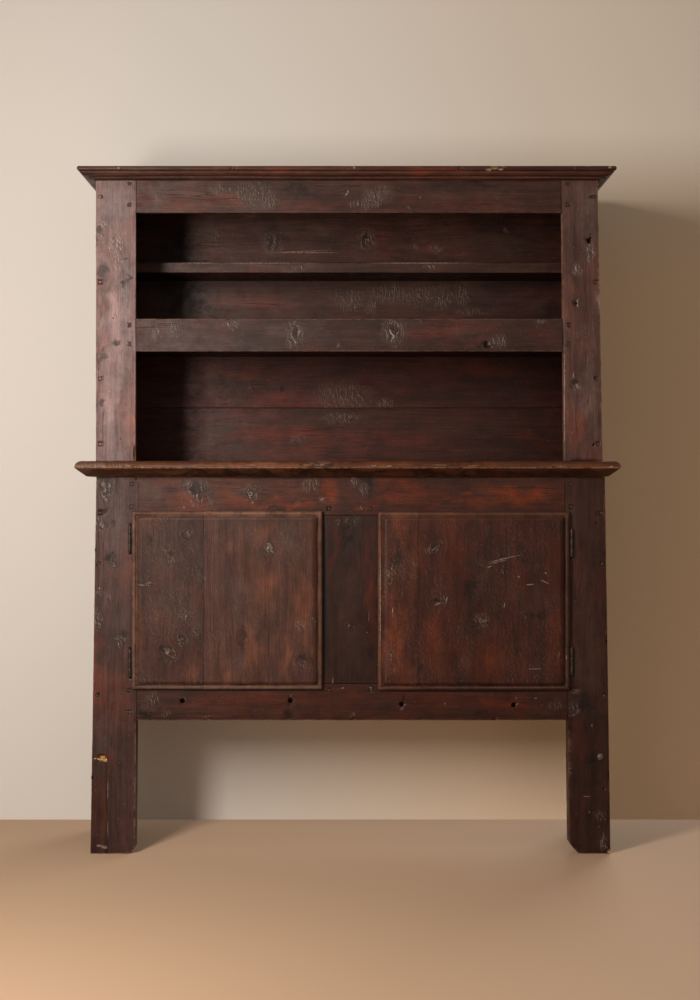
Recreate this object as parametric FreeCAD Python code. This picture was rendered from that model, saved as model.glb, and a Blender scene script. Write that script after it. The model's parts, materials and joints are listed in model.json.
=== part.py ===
import FreeCAD, Part
import math
import os

# Sideboard in old stained pine: an open three-bay rack under a moulded cornice,
# standing on a two-door cupboard that is carried on tall plank legs.
# Millimetres. X to the right, Y to the back, Z up.
# The origin is on the floor, under the middle of the counter board.

V = FreeCAD.Vector

# Overall sizes
counter_width = 1464.0
front_overhang = 44.0
case_depth = 400.0
base_height = 1018.0
counter_thick = 43.0
rack_height = 768.0
roof_thick = 20.0

# Counter board: moulded on the front and both ends
counter_nose_height = 23.0
counter_top_round = 16.0
counter_chamfer_run = 29.0
counter_front_board_width = 236.0
counter_tongue_depth = 10.0
counter_tongue_thick = 12.0

# Front frame of the base: two wide legs that lean out towards the floor
base_stile_thick = 50.0
base_left_top_inset = 52.0
base_left_foot_inset = 36.0
base_left_top_width = 114.0
base_left_foot_width = 122.0
base_right_top_inset = 36.0
base_right_foot_inset = 21.0
base_right_top_width = 110.0
base_right_foot_width = 113.0
left_foot_chamfer_run = 18.0
left_foot_chamfer_rise = 16.0
right_foot_chamfer_run = 25.0
right_foot_chamfer_rise = 29.0
foot_patch_width = 46.0
foot_patch_height = 259.0

# Rails of the base
rail_thick = 30.0
base_top_rail_height = 103.0
base_bottom_rail_height = 99.0
bottom_rail_z = 360.0
centre_stile_width = 177.0
centre_stile_offset = 6.5

# Case boards
side_thick = 24.0
back_thick = 20.0
dado_depth = 8.0
housing_depth = 10.0

# Cupboard floor and shelf
floor_rise = 35.0
floor_thick = 26.0
floor_front_width = 190.0
cupboard_shelf_rise = 279.0
cupboard_shelf_thick = 22.0
cupboard_shelf_setback = 68.0
cleat_width = 20.0
cleat_height = 25.0
cleat_end_gap = 12.0
base_back_drop = 15.0

# Four open peg holes through the bottom rail, opposite the cupboard floor's edge
peg_hole_radius = 6.5
peg_hole_shares = [(0.107, 0.70), (0.357, 0.73), (0.615, 0.36), (0.875, 0.28)]

# Rack
rack_stile_thick = 26.0
rack_rail_thick = 24.0
rack_left_top_inset = 51.0
rack_left_foot_inset = 51.0
rack_left_top_width = 109.0
rack_left_foot_width = 108.0
rack_right_top_inset = 56.0
rack_right_foot_inset = 42.0
rack_right_top_width = 99.0
rack_right_foot_width = 106.0
frieze_height = 97.5
mid_rail_rise = 295.8
mid_rail_height = 89.1
mid_shelf_rise = 311.0
mid_shelf_thick = 30.0
upper_shelf_rise = 533.0
upper_shelf_thick = 30.5
upper_shelf_recess = 195.0
upper_shelf_round = 3.0
roof_front_width = 205.0
rack_back_low_rise = 161.7

# Joints of the frames
tenon_thick_share = 1 / 3
tenon_length = 45.0
tenon_shoulder = 8.0
counter_tenon_depth = 25.0
counter_tenon_shoulder = 15.0
peg_across = 8.0
peg_inset = 17.0
peg_stop = 2.0
peg_height_shares = (0.17, 0.87)

# Cornice section, outwards and down from the top edge of its back
cornice_projection = 44.0
cornice_height = 32.5
cornice_lift = 2.0
cornice_nose_height = 13.0
cornice_nose_round = 4.0
cornice_quirk_set = 4.0
cornice_quirk_drop = 2.0
cornice_ovolo_run = 16.0
cornice_ovolo_drop = 9.0
cornice_fillet_set = 4.0
cornice_fillet_drop = 1.5
cornice_bead_run = 8.0
cornice_bead_drop = 5.5
cornice_foot_set = 4.0

# Doors: a lip lies over the frame, the rebated body enters the opening
door_lip_overlap = 12.5
door_meeting_overlap = 14.0
left_door_hinge_overlap = 13.4
right_door_hinge_overlap = 8.6
left_door_drop = 1.5
right_door_drop = 3.5
left_hinge_board_width = 194.0
right_meeting_board_width = 108.5
door_lip_gap = 1.0
door_lip_thick = 14.0
door_body_thick = 12.0
door_rebate = 18.0
door_bead_radius = 6.0
door_bead_width = 12.0
door_quirk_width = 3.0
door_quirk_depth = 2.5
ledge_height = 90.0
ledge_thick = 20.0
ledge_bevel = 8.0
ledge_hinge_inset = 45.0
ledge_free_inset = 42.0

# Butt hinges with three knuckles on a loose pin
hinge_length = 74.0
hinge_edge_gap = 6.0
knuckle_radius = 4.3
knuckle_face_gap = 0.3
knuckle_end_gap = 0.4
leaf_thick = 2.0
frame_leaf_width = 11.0
door_leaf_width = 22.0
leaf_knuckle_gap = 0.5
leaf_wrap_half = 2.2
pin_radius = 1.8
pin_clearance = 0.06
pin_head_radius = 2.8
pin_head_height = 2.5
left_upper_hinge_drop = 39.0
left_lower_hinge_rise = 33.0
right_upper_hinge_drop = 48.0
right_lower_hinge_rise = 40.0

# Cut nails
nail_head = 7.0
nail_head_thick = 2.0
nail_shank = 3.4
nail_point = 1.2
frame_nail_length = 88.0
rack_nail_length = 66.0
back_nail_length = 58.0
roof_nail_length = 60.0
cornice_nail_length = 82.0
ledge_nail_length = 37.0

# A cutter runs this far past the faces that it cuts
overrun = 5.0
quarter_share = 1 - math.sqrt(0.5)

# Places worked out from the sizes above
overall_depth = case_depth + front_overhang
nose_y = -overall_depth / 2
front_y = nose_y + front_overhang
back_y = overall_depth / 2
back_board_y = back_y - back_thick
base_rail_back_y = front_y + rail_thick
base_stile_back_y = front_y + base_stile_thick
rack_rail_back_y = front_y + rack_rail_thick
rack_stile_back_y = front_y + rack_stile_thick
half_width = counter_width / 2
counter_top_z = base_height + counter_thick
roof_z = counter_top_z + rack_height
roof_top_z = roof_z + roof_thick
top_z = roof_top_z + cornice_lift
bottom_rail_top_z = bottom_rail_z + base_bottom_rail_height
top_rail_z = base_height - base_top_rail_height
floor_z = bottom_rail_z + floor_rise
cupboard_shelf_z = floor_z + floor_thick + cupboard_shelf_rise
frieze_z = roof_z - frieze_height
mid_rail_z = counter_top_z + mid_rail_rise
mid_rail_top_z = mid_rail_z + mid_rail_height
mid_shelf_z = counter_top_z + mid_shelf_rise
upper_shelf_z = counter_top_z + upper_shelf_rise
upper_shelf_front_y = front_y + upper_shelf_recess
cornice_bottom_z = top_z - cornice_height
opening_middle_z = (bottom_rail_top_z + top_rail_z) / 2
door_height = top_rail_z - bottom_rail_top_z + 2 * door_lip_overlap
left_door_z = opening_middle_z - door_height / 2 - left_door_drop
right_door_z = opening_middle_z - door_height / 2 - right_door_drop
centre_stile_left_x = centre_stile_offset - centre_stile_width / 2
centre_stile_right_x = centre_stile_offset + centre_stile_width / 2
lip_back_y = front_y - door_lip_gap
lip_front_y = lip_back_y - door_lip_thick
door_body_back_y = lip_back_y + door_body_thick
hinge_y = front_y - knuckle_face_gap - knuckle_radius


def leaning(foot_x, top_x, foot_z, head_z):
    """A straight leaning edge: gives its X at any height."""
    return lambda z: foot_x + (top_x - foot_x) * (z - foot_z) / (head_z - foot_z)


def upright(x):
    """A plumb edge."""
    return lambda z: x


def beside(edge, offset):
    """The same edge moved sideways."""
    return lambda z: edge(z) + offset


def prism(points, sweep):
    """A closed outline of straight sides, swept along a vector."""
    outline = Part.makePolygon(points + [points[0]])
    return Part.Face(outline).extrude(sweep)


def plank(left, right, y0, y1, z0, z1):
    """A board between two edges seen from the front, two depths and two heights."""
    corners = [(left(z0), z0), (right(z0), z0), (right(z1), z1), (left(z1), z1)]
    return prism([V(x, y0, z) for x, z in corners], V(0, y1 - y0, 0))


def box(x0, x1, y0, y1, z0, z1):
    return Part.makeBox(x1 - x0, y1 - y0, z1 - z0, V(x0, y0, z0))


def cut_all(shape, cutters):
    for cutter in cutters:
        shape = shape.cut(cutter)
    return shape


# Edges of the uprights, seen from the front
base_left_outer = leaning(
    -half_width + base_left_foot_inset, -half_width + base_left_top_inset, 0, base_height)
base_left_inner = leaning(
    base_left_outer(0) + base_left_foot_width,
    base_left_outer(base_height) + base_left_top_width, 0, base_height)
base_right_outer = leaning(
    half_width - base_right_foot_inset, half_width - base_right_top_inset, 0, base_height)
base_right_inner = leaning(
    base_right_outer(0) - base_right_foot_width,
    base_right_outer(base_height) - base_right_top_width, 0, base_height)
left_door_left_x = base_left_inner(opening_middle_z) - left_door_hinge_overlap
left_door_right_x = centre_stile_left_x + door_meeting_overlap
left_door_joint_x = left_door_left_x + left_hinge_board_width
right_door_left_x = centre_stile_right_x - door_meeting_overlap
right_door_right_x = base_right_inner(opening_middle_z) + right_door_hinge_overlap
right_door_joint_x = right_door_left_x + right_meeting_board_width
left_hinge_x = left_door_left_x - hinge_edge_gap
right_hinge_x = right_door_right_x + hinge_edge_gap
rack_left_outer = leaning(
    -half_width + rack_left_foot_inset, -half_width + rack_left_top_inset, counter_top_z, roof_z)
rack_left_inner = leaning(
    rack_left_outer(counter_top_z) + rack_left_foot_width,
    rack_left_outer(roof_z) + rack_left_top_width, counter_top_z, roof_z)
rack_right_outer = leaning(
    half_width - rack_right_foot_inset, half_width - rack_right_top_inset, counter_top_z, roof_z)
rack_right_inner = leaning(
    rack_right_outer(counter_top_z) - rack_right_foot_width,
    rack_right_outer(roof_z) - rack_right_top_width, counter_top_z, roof_z)


def foot_chamfer(inner, side, run, rise):
    """The worn inner corner of a leg's foot, as a cutter."""
    outline = [
        (inner(0) - side * run, 0),
        (inner(rise), rise),
        (inner(rise) + side * overrun, rise),
        (inner(0) + side * overrun, -overrun),
        (inner(0) - side * run, -overrun),
    ]
    points = [V(x, front_y - overrun, z) for x, z in outline]
    return prism(points, V(0, base_stile_thick + 2 * overrun, 0))


def rail(left, right, thick, z0, z1):
    """A rail flush with the front, with a tenon at each end."""
    board = plank(left, right, front_y, front_y + thick, z0, z1)
    tenon_thick = thick * tenon_thick_share
    middle_z = (z0 + z1) / 2
    tenon = box(
        left(middle_z) - tenon_length, right(middle_z) + tenon_length,
        front_y + tenon_thick, front_y + 2 * tenon_thick,
        z0 + tenon_shoulder, z1 - tenon_shoulder)
    return board.fuse(tenon).removeSplitter()


def centre_stile():
    """The wide upright between the doors, tenoned into both rails."""
    tenon_thick = rail_thick * tenon_thick_share
    board = box(
        centre_stile_left_x, centre_stile_right_x,
        front_y, base_rail_back_y, bottom_rail_top_z, top_rail_z)
    tenon = box(
        centre_stile_left_x + counter_tenon_shoulder,
        centre_stile_right_x - counter_tenon_shoulder,
        front_y + tenon_thick, front_y + 2 * tenon_thick,
        bottom_rail_top_z - tenon_length, top_rail_z + tenon_length)
    return board.fuse(tenon).removeSplitter()


def peg(x, z, length):
    """A riven square peg, driven in from the front."""
    half = peg_across / 2
    return box(x - half, x + half, front_y, front_y + length, z - half, z + half)


def rail_pegs(inner, side, thick, z0, z1):
    """Two pegs through the tenon of a rail, in the stile beside its shoulder."""
    low = z0 + tenon_shoulder
    span = z1 - z0 - 2 * tenon_shoulder
    heights = [low + share * span for share in peg_height_shares]
    return [peg(inner(z) - side * peg_inset, z, thick - peg_stop) for z in heights]


def centre_stile_pegs():
    """One peg on each side of the centre stile's two tenons."""
    columns = (
        centre_stile_left_x + counter_tenon_shoulder + peg_inset,
        centre_stile_right_x - counter_tenon_shoulder - peg_inset)
    rows = (bottom_rail_top_z - peg_inset, top_rail_z + peg_inset)
    return [peg(x, z, rail_thick - peg_stop) for z in rows for x in columns]


def counter_board():
    """The counter board in one piece: front section and end section, mitred by intersection."""
    top = counter_top_z
    tip = base_height + counter_nose_height

    def section(edge_place, far_place):
        """Half of a moulded section, from the underside round the nose to the flat top."""
        inwards = 1 if far_place > edge_place else -1
        under = (edge_place + inwards * counter_chamfer_run, base_height)
        nose = (edge_place, tip)
        shoulder = (edge_place + inwards * counter_top_round, top)
        crown = (
            edge_place + inwards * counter_top_round * quarter_share,
            top - (top - tip) * quarter_share)
        return under, nose, crown, shoulder

    def outline(halves, place):
        """Joins sections into a closed wire; place puts a flat point into space."""
        first = halves[0]
        edges = [
            Part.LineSegment(place(*first[0]), place(*first[1])).toShape(),
            Part.Arc(place(*first[1]), place(*first[2]), place(*first[3])).toShape(),
        ]
        if len(halves) == 1:
            edges += [
                Part.LineSegment(place(*first[3]), place(back_y, top)).toShape(),
                Part.LineSegment(place(back_y, top), place(back_y, base_height)).toShape(),
                Part.LineSegment(place(back_y, base_height), place(*first[0])).toShape(),
            ]
        else:
            last = halves[1]
            edges += [
                Part.LineSegment(place(*first[3]), place(*last[3])).toShape(),
                Part.Arc(place(*last[3]), place(*last[2]), place(*last[1])).toShape(),
                Part.LineSegment(place(*last[1]), place(*last[0])).toShape(),
                Part.LineSegment(place(*last[0]), place(*first[0])).toShape(),
            ]
        return Part.Face(Part.Wire(edges))

    front = outline([section(nose_y, back_y)], lambda y, z: V(-half_width, y, z))
    ends = outline(
        [section(-half_width, half_width), section(half_width, -half_width)],
        lambda x, z: V(x, nose_y, z))
    long_solid = front.extrude(V(counter_width, 0, 0))
    cross_solid = ends.extrude(V(0, overall_depth, 0))
    return long_solid.common(cross_solid)


def counter_front_region():
    """What of the counter board belongs to its front board: all before the joint, and the tongue."""
    joint_y = nose_y + counter_front_board_width
    middle_z = (base_height + counter_top_z) / 2
    body = box(
        -half_width - overrun, half_width + overrun,
        nose_y - overrun, joint_y, base_height - overrun, counter_top_z + overrun)
    tongue = box(
        -half_width - overrun, half_width + overrun,
        joint_y, joint_y + counter_tongue_depth,
        middle_z - counter_tongue_thick / 2, middle_z + counter_tongue_thick / 2)
    return body.fuse(tongue)


def rack_stile(outer, inner):
    """A rack stile with its foot tenon in the counter board."""
    left = outer if outer(counter_top_z) < inner(counter_top_z) else inner
    right = inner if left is outer else outer
    tenon_thick = rack_stile_thick * tenon_thick_share
    board = plank(left, right, front_y, rack_stile_back_y, counter_top_z, roof_z)
    tenon = box(
        left(counter_top_z) + counter_tenon_shoulder,
        right(counter_top_z) - counter_tenon_shoulder,
        front_y + tenon_thick, front_y + 2 * tenon_thick,
        counter_top_z - counter_tenon_depth, counter_top_z)
    return board.fuse(tenon)


def cornice_section(place):
    """The cornice's section as a face; place puts (outwards, down) into space."""
    nose_in = cornice_projection - cornice_nose_round
    ovolo_out = nose_in - cornice_quirk_set
    ovolo_top = cornice_nose_height + cornice_quirk_drop
    ovolo_in = ovolo_out - cornice_ovolo_run
    ovolo_foot = ovolo_top + cornice_ovolo_drop
    bead_out = ovolo_in - cornice_fillet_set
    bead_top = ovolo_foot + cornice_fillet_drop
    bead_in = bead_out - cornice_bead_run
    bead_foot = bead_top + cornice_bead_drop

    def line(*ends):
        return Part.LineSegment(place(*ends[0]), place(*ends[1])).toShape()

    def swell(top_out, top, foot_in, foot):
        """A convex quarter from its upper outer end to its lower inner end."""
        crown = (
            top_out - (top_out - foot_in) * quarter_share,
            foot - (foot - top) * quarter_share)
        return Part.Arc(place(top_out, top), place(*crown), place(foot_in, foot)).toShape()

    nose = Part.Arc(
        place(nose_in, 0),
        place(cornice_projection, cornice_nose_height / 2),
        place(nose_in, cornice_nose_height)).toShape()
    edges = [
        line((0, 0), (nose_in, 0)),
        nose,
        line((nose_in, cornice_nose_height), (ovolo_out, cornice_nose_height)),
        line((ovolo_out, cornice_nose_height), (ovolo_out, ovolo_top)),
        swell(ovolo_out, ovolo_top, ovolo_in, ovolo_foot),
        line((ovolo_in, ovolo_foot), (bead_out, ovolo_foot)),
        line((bead_out, ovolo_foot), (bead_out, bead_top)),
        swell(bead_out, bead_top, bead_in, bead_foot),
        line((bead_in, bead_foot), (cornice_foot_set, bead_foot)),
        line((cornice_foot_set, bead_foot), (cornice_foot_set, cornice_height)),
        line((cornice_foot_set, cornice_height), (0, cornice_height)),
        line((0, cornice_height), (0, 0)),
    ]
    return Part.Face(Part.Wire(edges))


def cornice():
    """The front length and both returns, mitred at the front corners."""
    left_x = rack_left_outer(cornice_bottom_z)
    right_x = rack_right_outer(cornice_bottom_z)
    reach = cornice_projection + overrun
    low = cornice_bottom_z - overrun
    tall = V(0, 0, cornice_height + 2 * overrun)
    front_run = cornice_section(
        lambda out, down: V(left_x - reach, front_y - out, top_z - down))
    front_run = front_run.extrude(V(right_x - left_x + 2 * reach, 0, 0))
    left_run = cornice_section(
        lambda out, down: V(left_x - out, front_y - reach, top_z - down))
    left_run = left_run.extrude(V(0, case_depth + reach, 0))
    right_run = cornice_section(
        lambda out, down: V(right_x + out, front_y - reach, top_z - down))
    right_run = right_run.extrude(V(0, case_depth + reach, 0))
    front_plan = [
        V(left_x, front_y, low), V(right_x, front_y, low),
        V(right_x + reach, front_y - reach, low), V(left_x - reach, front_y - reach, low)]
    left_plan = [
        V(left_x, front_y, low), V(left_x - reach, front_y - reach, low),
        V(left_x - reach, back_y, low), V(left_x, back_y, low)]
    right_plan = [
        V(right_x, front_y, low), V(right_x + reach, front_y - reach, low),
        V(right_x + reach, back_y, low), V(right_x, back_y, low)]
    return (
        front_run.common(prism(front_plan, tall)),
        left_run.common(prism(left_plan, tall)),
        right_run.common(prism(right_plan, tall)))


def door_moulding(x0, x1, z0, z1):
    """The cutter that leaves a rounded bead and a quirk round a door's front, mitred."""
    quirk_end = door_bead_width + door_quirk_width
    front = lip_front_y

    def section(place):
        def line(*ends):
            return Part.LineSegment(place(*ends[0]), place(*ends[1])).toShape()

        outer_crown = (door_bead_radius * quarter_share, door_bead_radius * quarter_share)
        inner_crown = (
            door_bead_width - (door_bead_width - door_bead_radius) * quarter_share,
            door_quirk_depth * quarter_share)
        outer_round = Part.Arc(
            place(0, door_bead_radius), place(*outer_crown), place(door_bead_radius, 0)).toShape()
        inner_round = Part.Arc(
            place(door_bead_radius, 0), place(*inner_crown),
            place(door_bead_width, door_quirk_depth)).toShape()
        edges = [
            line((-overrun, door_bead_radius), (0, door_bead_radius)),
            outer_round,
            inner_round,
            line((door_bead_width, door_quirk_depth), (quirk_end, door_quirk_depth)),
            line((quirk_end, door_quirk_depth), (quirk_end, -overrun)),
            line((quirk_end, -overrun), (-overrun, -overrun)),
            line((-overrun, -overrun), (-overrun, door_bead_radius)),
        ]
        return Part.Face(Part.Wire(edges))

    depth = V(0, door_bead_radius + 2 * overrun, 0)
    plane_y = front - overrun
    reach = quirk_end
    out = overrun
    bottom_plan = [(x0 - out, z0 - out), (x1 + out, z0 - out), (x1 - reach, z0 + reach), (x0 + reach, z0 + reach)]
    top_plan = [(x0 - out, z1 + out), (x1 + out, z1 + out), (x1 - reach, z1 - reach), (x0 + reach, z1 - reach)]
    left_plan = [(x0 - out, z0 - out), (x0 - out, z1 + out), (x0 + reach, z1 - reach), (x0 + reach, z0 + reach)]
    right_plan = [(x1 + out, z0 - out), (x1 + out, z1 + out), (x1 - reach, z1 - reach), (x1 - reach, z0 + reach)]
    width = V(x1 - x0 + 2 * out, 0, 0)
    height = V(0, 0, z1 - z0 + 2 * out)
    runs = [
        (section(lambda u, v: V(x0 - out, front + v, z0 + u)).extrude(width), bottom_plan),
        (section(lambda u, v: V(x0 - out, front + v, z1 - u)).extrude(width), top_plan),
        (section(lambda u, v: V(x0 + u, front + v, z0 - out)).extrude(height), left_plan),
        (section(lambda u, v: V(x1 - u, front + v, z0 - out)).extrude(height), right_plan),
    ]
    return [run.common(prism([V(x, plane_y, z) for x, z in plan], depth)) for run, plan in runs]


def door(x0, x1, joint_x, z0):
    """A lipped, moulded door, parted into its two upright boards."""
    z1 = z0 + door_height
    lip = box(x0, x1, lip_front_y, lip_back_y, z0, z1)
    body = box(
        x0 + door_rebate, x1 - door_rebate, lip_back_y, door_body_back_y,
        z0 + door_rebate, z1 - door_rebate)
    whole = cut_all(lip.fuse(body), door_moulding(x0, x1, z0, z1))
    left_part = box(
        x0 - overrun, joint_x, lip_front_y - overrun, door_body_back_y + overrun,
        z0 - overrun, z1 + overrun)
    return whole.common(left_part), whole.cut(left_part)


def ledge(x0, x1, middle_z):
    """A batten across the boards at the back of a door, bevelled on its back edges."""
    low = middle_z - ledge_height / 2
    high = middle_z + ledge_height / 2
    back = door_body_back_y + ledge_thick
    outline = [
        (door_body_back_y, low), (back - ledge_bevel, low), (back, low + ledge_bevel),
        (back, high - ledge_bevel), (back - ledge_bevel, high), (door_body_back_y, high)]
    return prism([V(x0, y, z) for y, z in outline], V(x1 - x0, 0, 0))


def knuckle_bore(axis_x, z0):
    """The hole through all three knuckles."""
    return Part.makeCylinder(
        pin_radius + pin_clearance, hinge_length + 2 * overrun, V(axis_x, hinge_y, z0 - overrun))


def knuckle_spans(z0):
    """Heights of the three knuckles, lowest first."""
    knuckle = (hinge_length - 2 * knuckle_end_gap) / 3
    starts = [z0 + i * (knuckle + knuckle_end_gap) for i in range(3)]
    return [(start, start + knuckle) for start in starts]


def along_x(x, reach_a, reach_b):
    """Two places at signed distances from x, in rising order."""
    return sorted((x + reach_a, x + reach_b))


def frame_leaf(axis_x, side, z0):
    """The leaf let into the stile, with the lowest and highest knuckles."""
    xa, xb = along_x(axis_x, -side * leaf_wrap_half, side * frame_leaf_width)
    leaf = box(xa, xb, front_y, front_y + leaf_thick, z0, z0 + hinge_length)
    spans = knuckle_spans(z0)
    for low, high in (spans[0], spans[2]):
        knuckle = Part.makeCylinder(knuckle_radius, high - low, V(axis_x, hinge_y, low))
        wrap = box(
            axis_x - leaf_wrap_half, axis_x + leaf_wrap_half,
            hinge_y, front_y + leaf_thick, low, high)
        leaf = leaf.fuse(knuckle).fuse(wrap)
    return leaf.cut(knuckle_bore(axis_x, z0)).removeSplitter()


def door_leaf(axis_x, side, z0):
    """The leaf let into the back of the door's lip, with the middle knuckle."""
    inner_reach = knuckle_radius + leaf_knuckle_gap
    xa, xb = along_x(axis_x, side * inner_reach, side * door_leaf_width)
    leaf = box(xa, xb, lip_back_y - leaf_thick, lip_back_y, z0, z0 + hinge_length)
    low, high = knuckle_spans(z0)[1]
    knuckle = Part.makeCylinder(knuckle_radius, high - low, V(axis_x, hinge_y, low))
    xa, xb = along_x(axis_x, 0, side * inner_reach)
    bridge = box(xa, xb, lip_back_y - leaf_thick, lip_back_y, low, high)
    return leaf.fuse(knuckle).fuse(bridge).cut(knuckle_bore(axis_x, z0)).removeSplitter()


def hinge_pin(axis_x, z0):
    """A pin with a hammered eight-sided head that sits on the highest knuckle."""
    shaft = Part.makeCylinder(pin_radius, hinge_length, V(axis_x, hinge_y, z0))
    turns = [i * math.pi / 4 for i in range(8)]
    corners = [
        V(axis_x + pin_head_radius * math.cos(a), hinge_y + pin_head_radius * math.sin(a),
          z0 + hinge_length)
        for a in turns]
    return shaft.fuse(prism(corners, V(0, 0, pin_head_height)))


def nail(place, direction, length):
    """A cut nail: a square head, flush with the face, and a shank that tapers to a blunt point."""
    half_head = nail_head / 2
    half_shank = nail_shank / 2
    half_point = nail_point / 2
    head_block = box(-half_head, half_head, 0, nail_head_thick, -half_head, half_head)
    taper = Part.makeWedge(
        -half_shank, nail_head_thick, -half_shank, -half_point, -half_point,
        half_shank, length, half_shank, half_point, half_point)
    made = head_block.fuse(taper)
    made.Placement = FreeCAD.Placement(place, FreeCAD.Rotation(V(0, 1, 0), direction))
    return made


os.makedirs("parts", exist_ok=True)


def save(name, shape):
    shape.exportStep("parts/" + name + ".step")


def save_group(name, solids):
    save(name, Part.makeCompound(solids))


# Base frame
base_top_rail = rail(base_left_inner, base_right_inner, rail_thick, top_rail_z, base_height)
base_bottom_rail = rail(
    base_left_inner, base_right_inner, rail_thick, bottom_rail_z, bottom_rail_top_z)
base_centre_stile = centre_stile()
foot_patch = plank(
    base_left_outer, upright(base_left_outer(0) + foot_patch_width),
    front_y, base_stile_back_y, 0, foot_patch_height)
left_stile = plank(
    base_left_outer, base_left_inner, front_y, base_stile_back_y, 0, base_height)
left_stile = left_stile.cut(foot_patch)
left_stile = left_stile.cut(
    foot_chamfer(base_left_inner, 1, left_foot_chamfer_run, left_foot_chamfer_rise))
right_stile = plank(
    base_right_inner, base_right_outer, front_y, base_stile_back_y, 0, base_height)
right_stile = right_stile.cut(
    foot_chamfer(base_right_inner, -1, right_foot_chamfer_run, right_foot_chamfer_rise))
base_left_side = plank(
    base_left_outer, beside(base_left_outer, side_thick),
    base_stile_back_y, back_board_y, 0, base_height + housing_depth)
base_right_side = plank(
    beside(base_right_outer, -side_thick), base_right_outer,
    base_stile_back_y, back_board_y, 0, base_height + housing_depth)
base_left_face = beside(base_left_outer, side_thick)
base_right_face = beside(base_right_outer, -side_thick)

# Cupboard floor, shelf and back
floor_joint_y = base_rail_back_y + floor_front_width
floor_front = plank(
    beside(base_left_face, -dado_depth), beside(base_right_face, dado_depth),
    base_rail_back_y, floor_joint_y, floor_z, floor_z + floor_thick)
floor_rear = plank(
    beside(base_left_face, -dado_depth), beside(base_right_face, dado_depth),
    floor_joint_y, back_board_y, floor_z, floor_z + floor_thick)
floor_front = cut_all(floor_front, [left_stile, right_stile])
cupboard_shelf = plank(
    base_left_face, base_right_face, front_y + cupboard_shelf_setback, back_board_y,
    cupboard_shelf_z, cupboard_shelf_z + cupboard_shelf_thick)
cleat_front_y = front_y + cupboard_shelf_setback + cleat_end_gap
cleat_back_y = back_board_y - cleat_end_gap
cleats = [
    plank(base_left_face, beside(base_left_face, cleat_width),
          cleat_front_y, cleat_back_y, cupboard_shelf_z - cleat_height, cupboard_shelf_z),
    plank(beside(base_right_face, -cleat_width), base_right_face,
          cleat_front_y, cleat_back_y, cupboard_shelf_z - cleat_height, cupboard_shelf_z)]
base_back_z = floor_z - base_back_drop
base_back_height = (base_height - base_back_z) / 3
base_backs = [
    plank(base_left_outer, base_right_outer, back_board_y, back_y,
          base_back_z + i * base_back_height, base_back_z + (i + 1) * base_back_height)
    for i in range(3)]

# Open peg holes through the bottom rail
rail_run = base_right_inner(bottom_rail_z) - base_left_inner(bottom_rail_z)
peg_holes = [
    Part.makeCylinder(
        peg_hole_radius, rail_thick,
        V(base_left_inner(bottom_rail_z) + along * rail_run,
          front_y, floor_z + up * floor_thick),
        V(0, 1, 0))
    for along, up in peg_hole_shares]
base_bottom_rail = cut_all(base_bottom_rail, peg_holes)

# Rack frame, sides and shelves
rack_left_stile = rack_stile(rack_left_outer, rack_left_inner)
rack_right_stile = rack_stile(rack_right_outer, rack_right_inner)
frieze_rail = rail(rack_left_inner, rack_right_inner, rack_rail_thick, frieze_z, roof_z)
mid_rail = rail(rack_left_inner, rack_right_inner, rack_rail_thick, mid_rail_z, mid_rail_top_z)
rack_left_face = beside(rack_left_outer, side_thick)
rack_right_face = beside(rack_right_outer, -side_thick)
rack_left_side = plank(
    rack_left_outer, rack_left_face, rack_stile_back_y, back_board_y,
    counter_top_z - housing_depth, roof_z)
rack_right_side = plank(
    rack_right_face, rack_right_outer, rack_stile_back_y, back_board_y,
    counter_top_z - housing_depth, roof_z)
mid_shelf = plank(
    beside(rack_left_face, -dado_depth), beside(rack_right_face, dado_depth),
    rack_rail_back_y, back_board_y, mid_shelf_z, mid_shelf_z + mid_shelf_thick)
mid_shelf = cut_all(mid_shelf, [rack_left_stile, rack_right_stile])
upper_shelf = plank(
    beside(rack_left_face, -dado_depth), beside(rack_right_face, dado_depth),
    upper_shelf_front_y, back_board_y, upper_shelf_z, upper_shelf_z + upper_shelf_thick)
front_arrises = [
    edge for edge in upper_shelf.Edges
    if abs(edge.BoundBox.YMax - upper_shelf_front_y) < pin_clearance
    and edge.BoundBox.XLength > counter_width / 2]
upper_shelf = upper_shelf.makeFillet(upper_shelf_round, front_arrises)

# Joints: the mortises are the tenons' own shapes, and each peg passes through both pieces
stile_pegs_left = (
    rail_pegs(base_left_inner, 1, base_stile_thick, top_rail_z, base_height)
    + rail_pegs(base_left_inner, 1, base_stile_thick, bottom_rail_z, bottom_rail_top_z))
stile_pegs_right = (
    rail_pegs(base_right_inner, -1, base_stile_thick, top_rail_z, base_height)
    + rail_pegs(base_right_inner, -1, base_stile_thick, bottom_rail_z, bottom_rail_top_z))
middle_pegs = centre_stile_pegs()
rack_pegs_left = (
    rail_pegs(rack_left_inner, 1, rack_stile_thick, frieze_z, roof_z)
    + rail_pegs(rack_left_inner, 1, rack_stile_thick, mid_rail_z, mid_rail_top_z))
rack_pegs_right = (
    rail_pegs(rack_right_inner, -1, rack_stile_thick, frieze_z, roof_z)
    + rail_pegs(rack_right_inner, -1, rack_stile_thick, mid_rail_z, mid_rail_top_z))
left_stile = cut_all(left_stile, [base_top_rail, base_bottom_rail] + stile_pegs_left)
right_stile = cut_all(right_stile, [base_top_rail, base_bottom_rail] + stile_pegs_right)
base_top_rail = cut_all(
    base_top_rail, [base_centre_stile] + stile_pegs_left + stile_pegs_right + middle_pegs)
base_bottom_rail = cut_all(
    base_bottom_rail, [base_centre_stile] + stile_pegs_left + stile_pegs_right + middle_pegs)
base_centre_stile = cut_all(base_centre_stile, middle_pegs)
rack_left_stile = cut_all(rack_left_stile, [frieze_rail, mid_rail] + rack_pegs_left)
rack_right_stile = cut_all(rack_right_stile, [frieze_rail, mid_rail] + rack_pegs_right)
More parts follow.
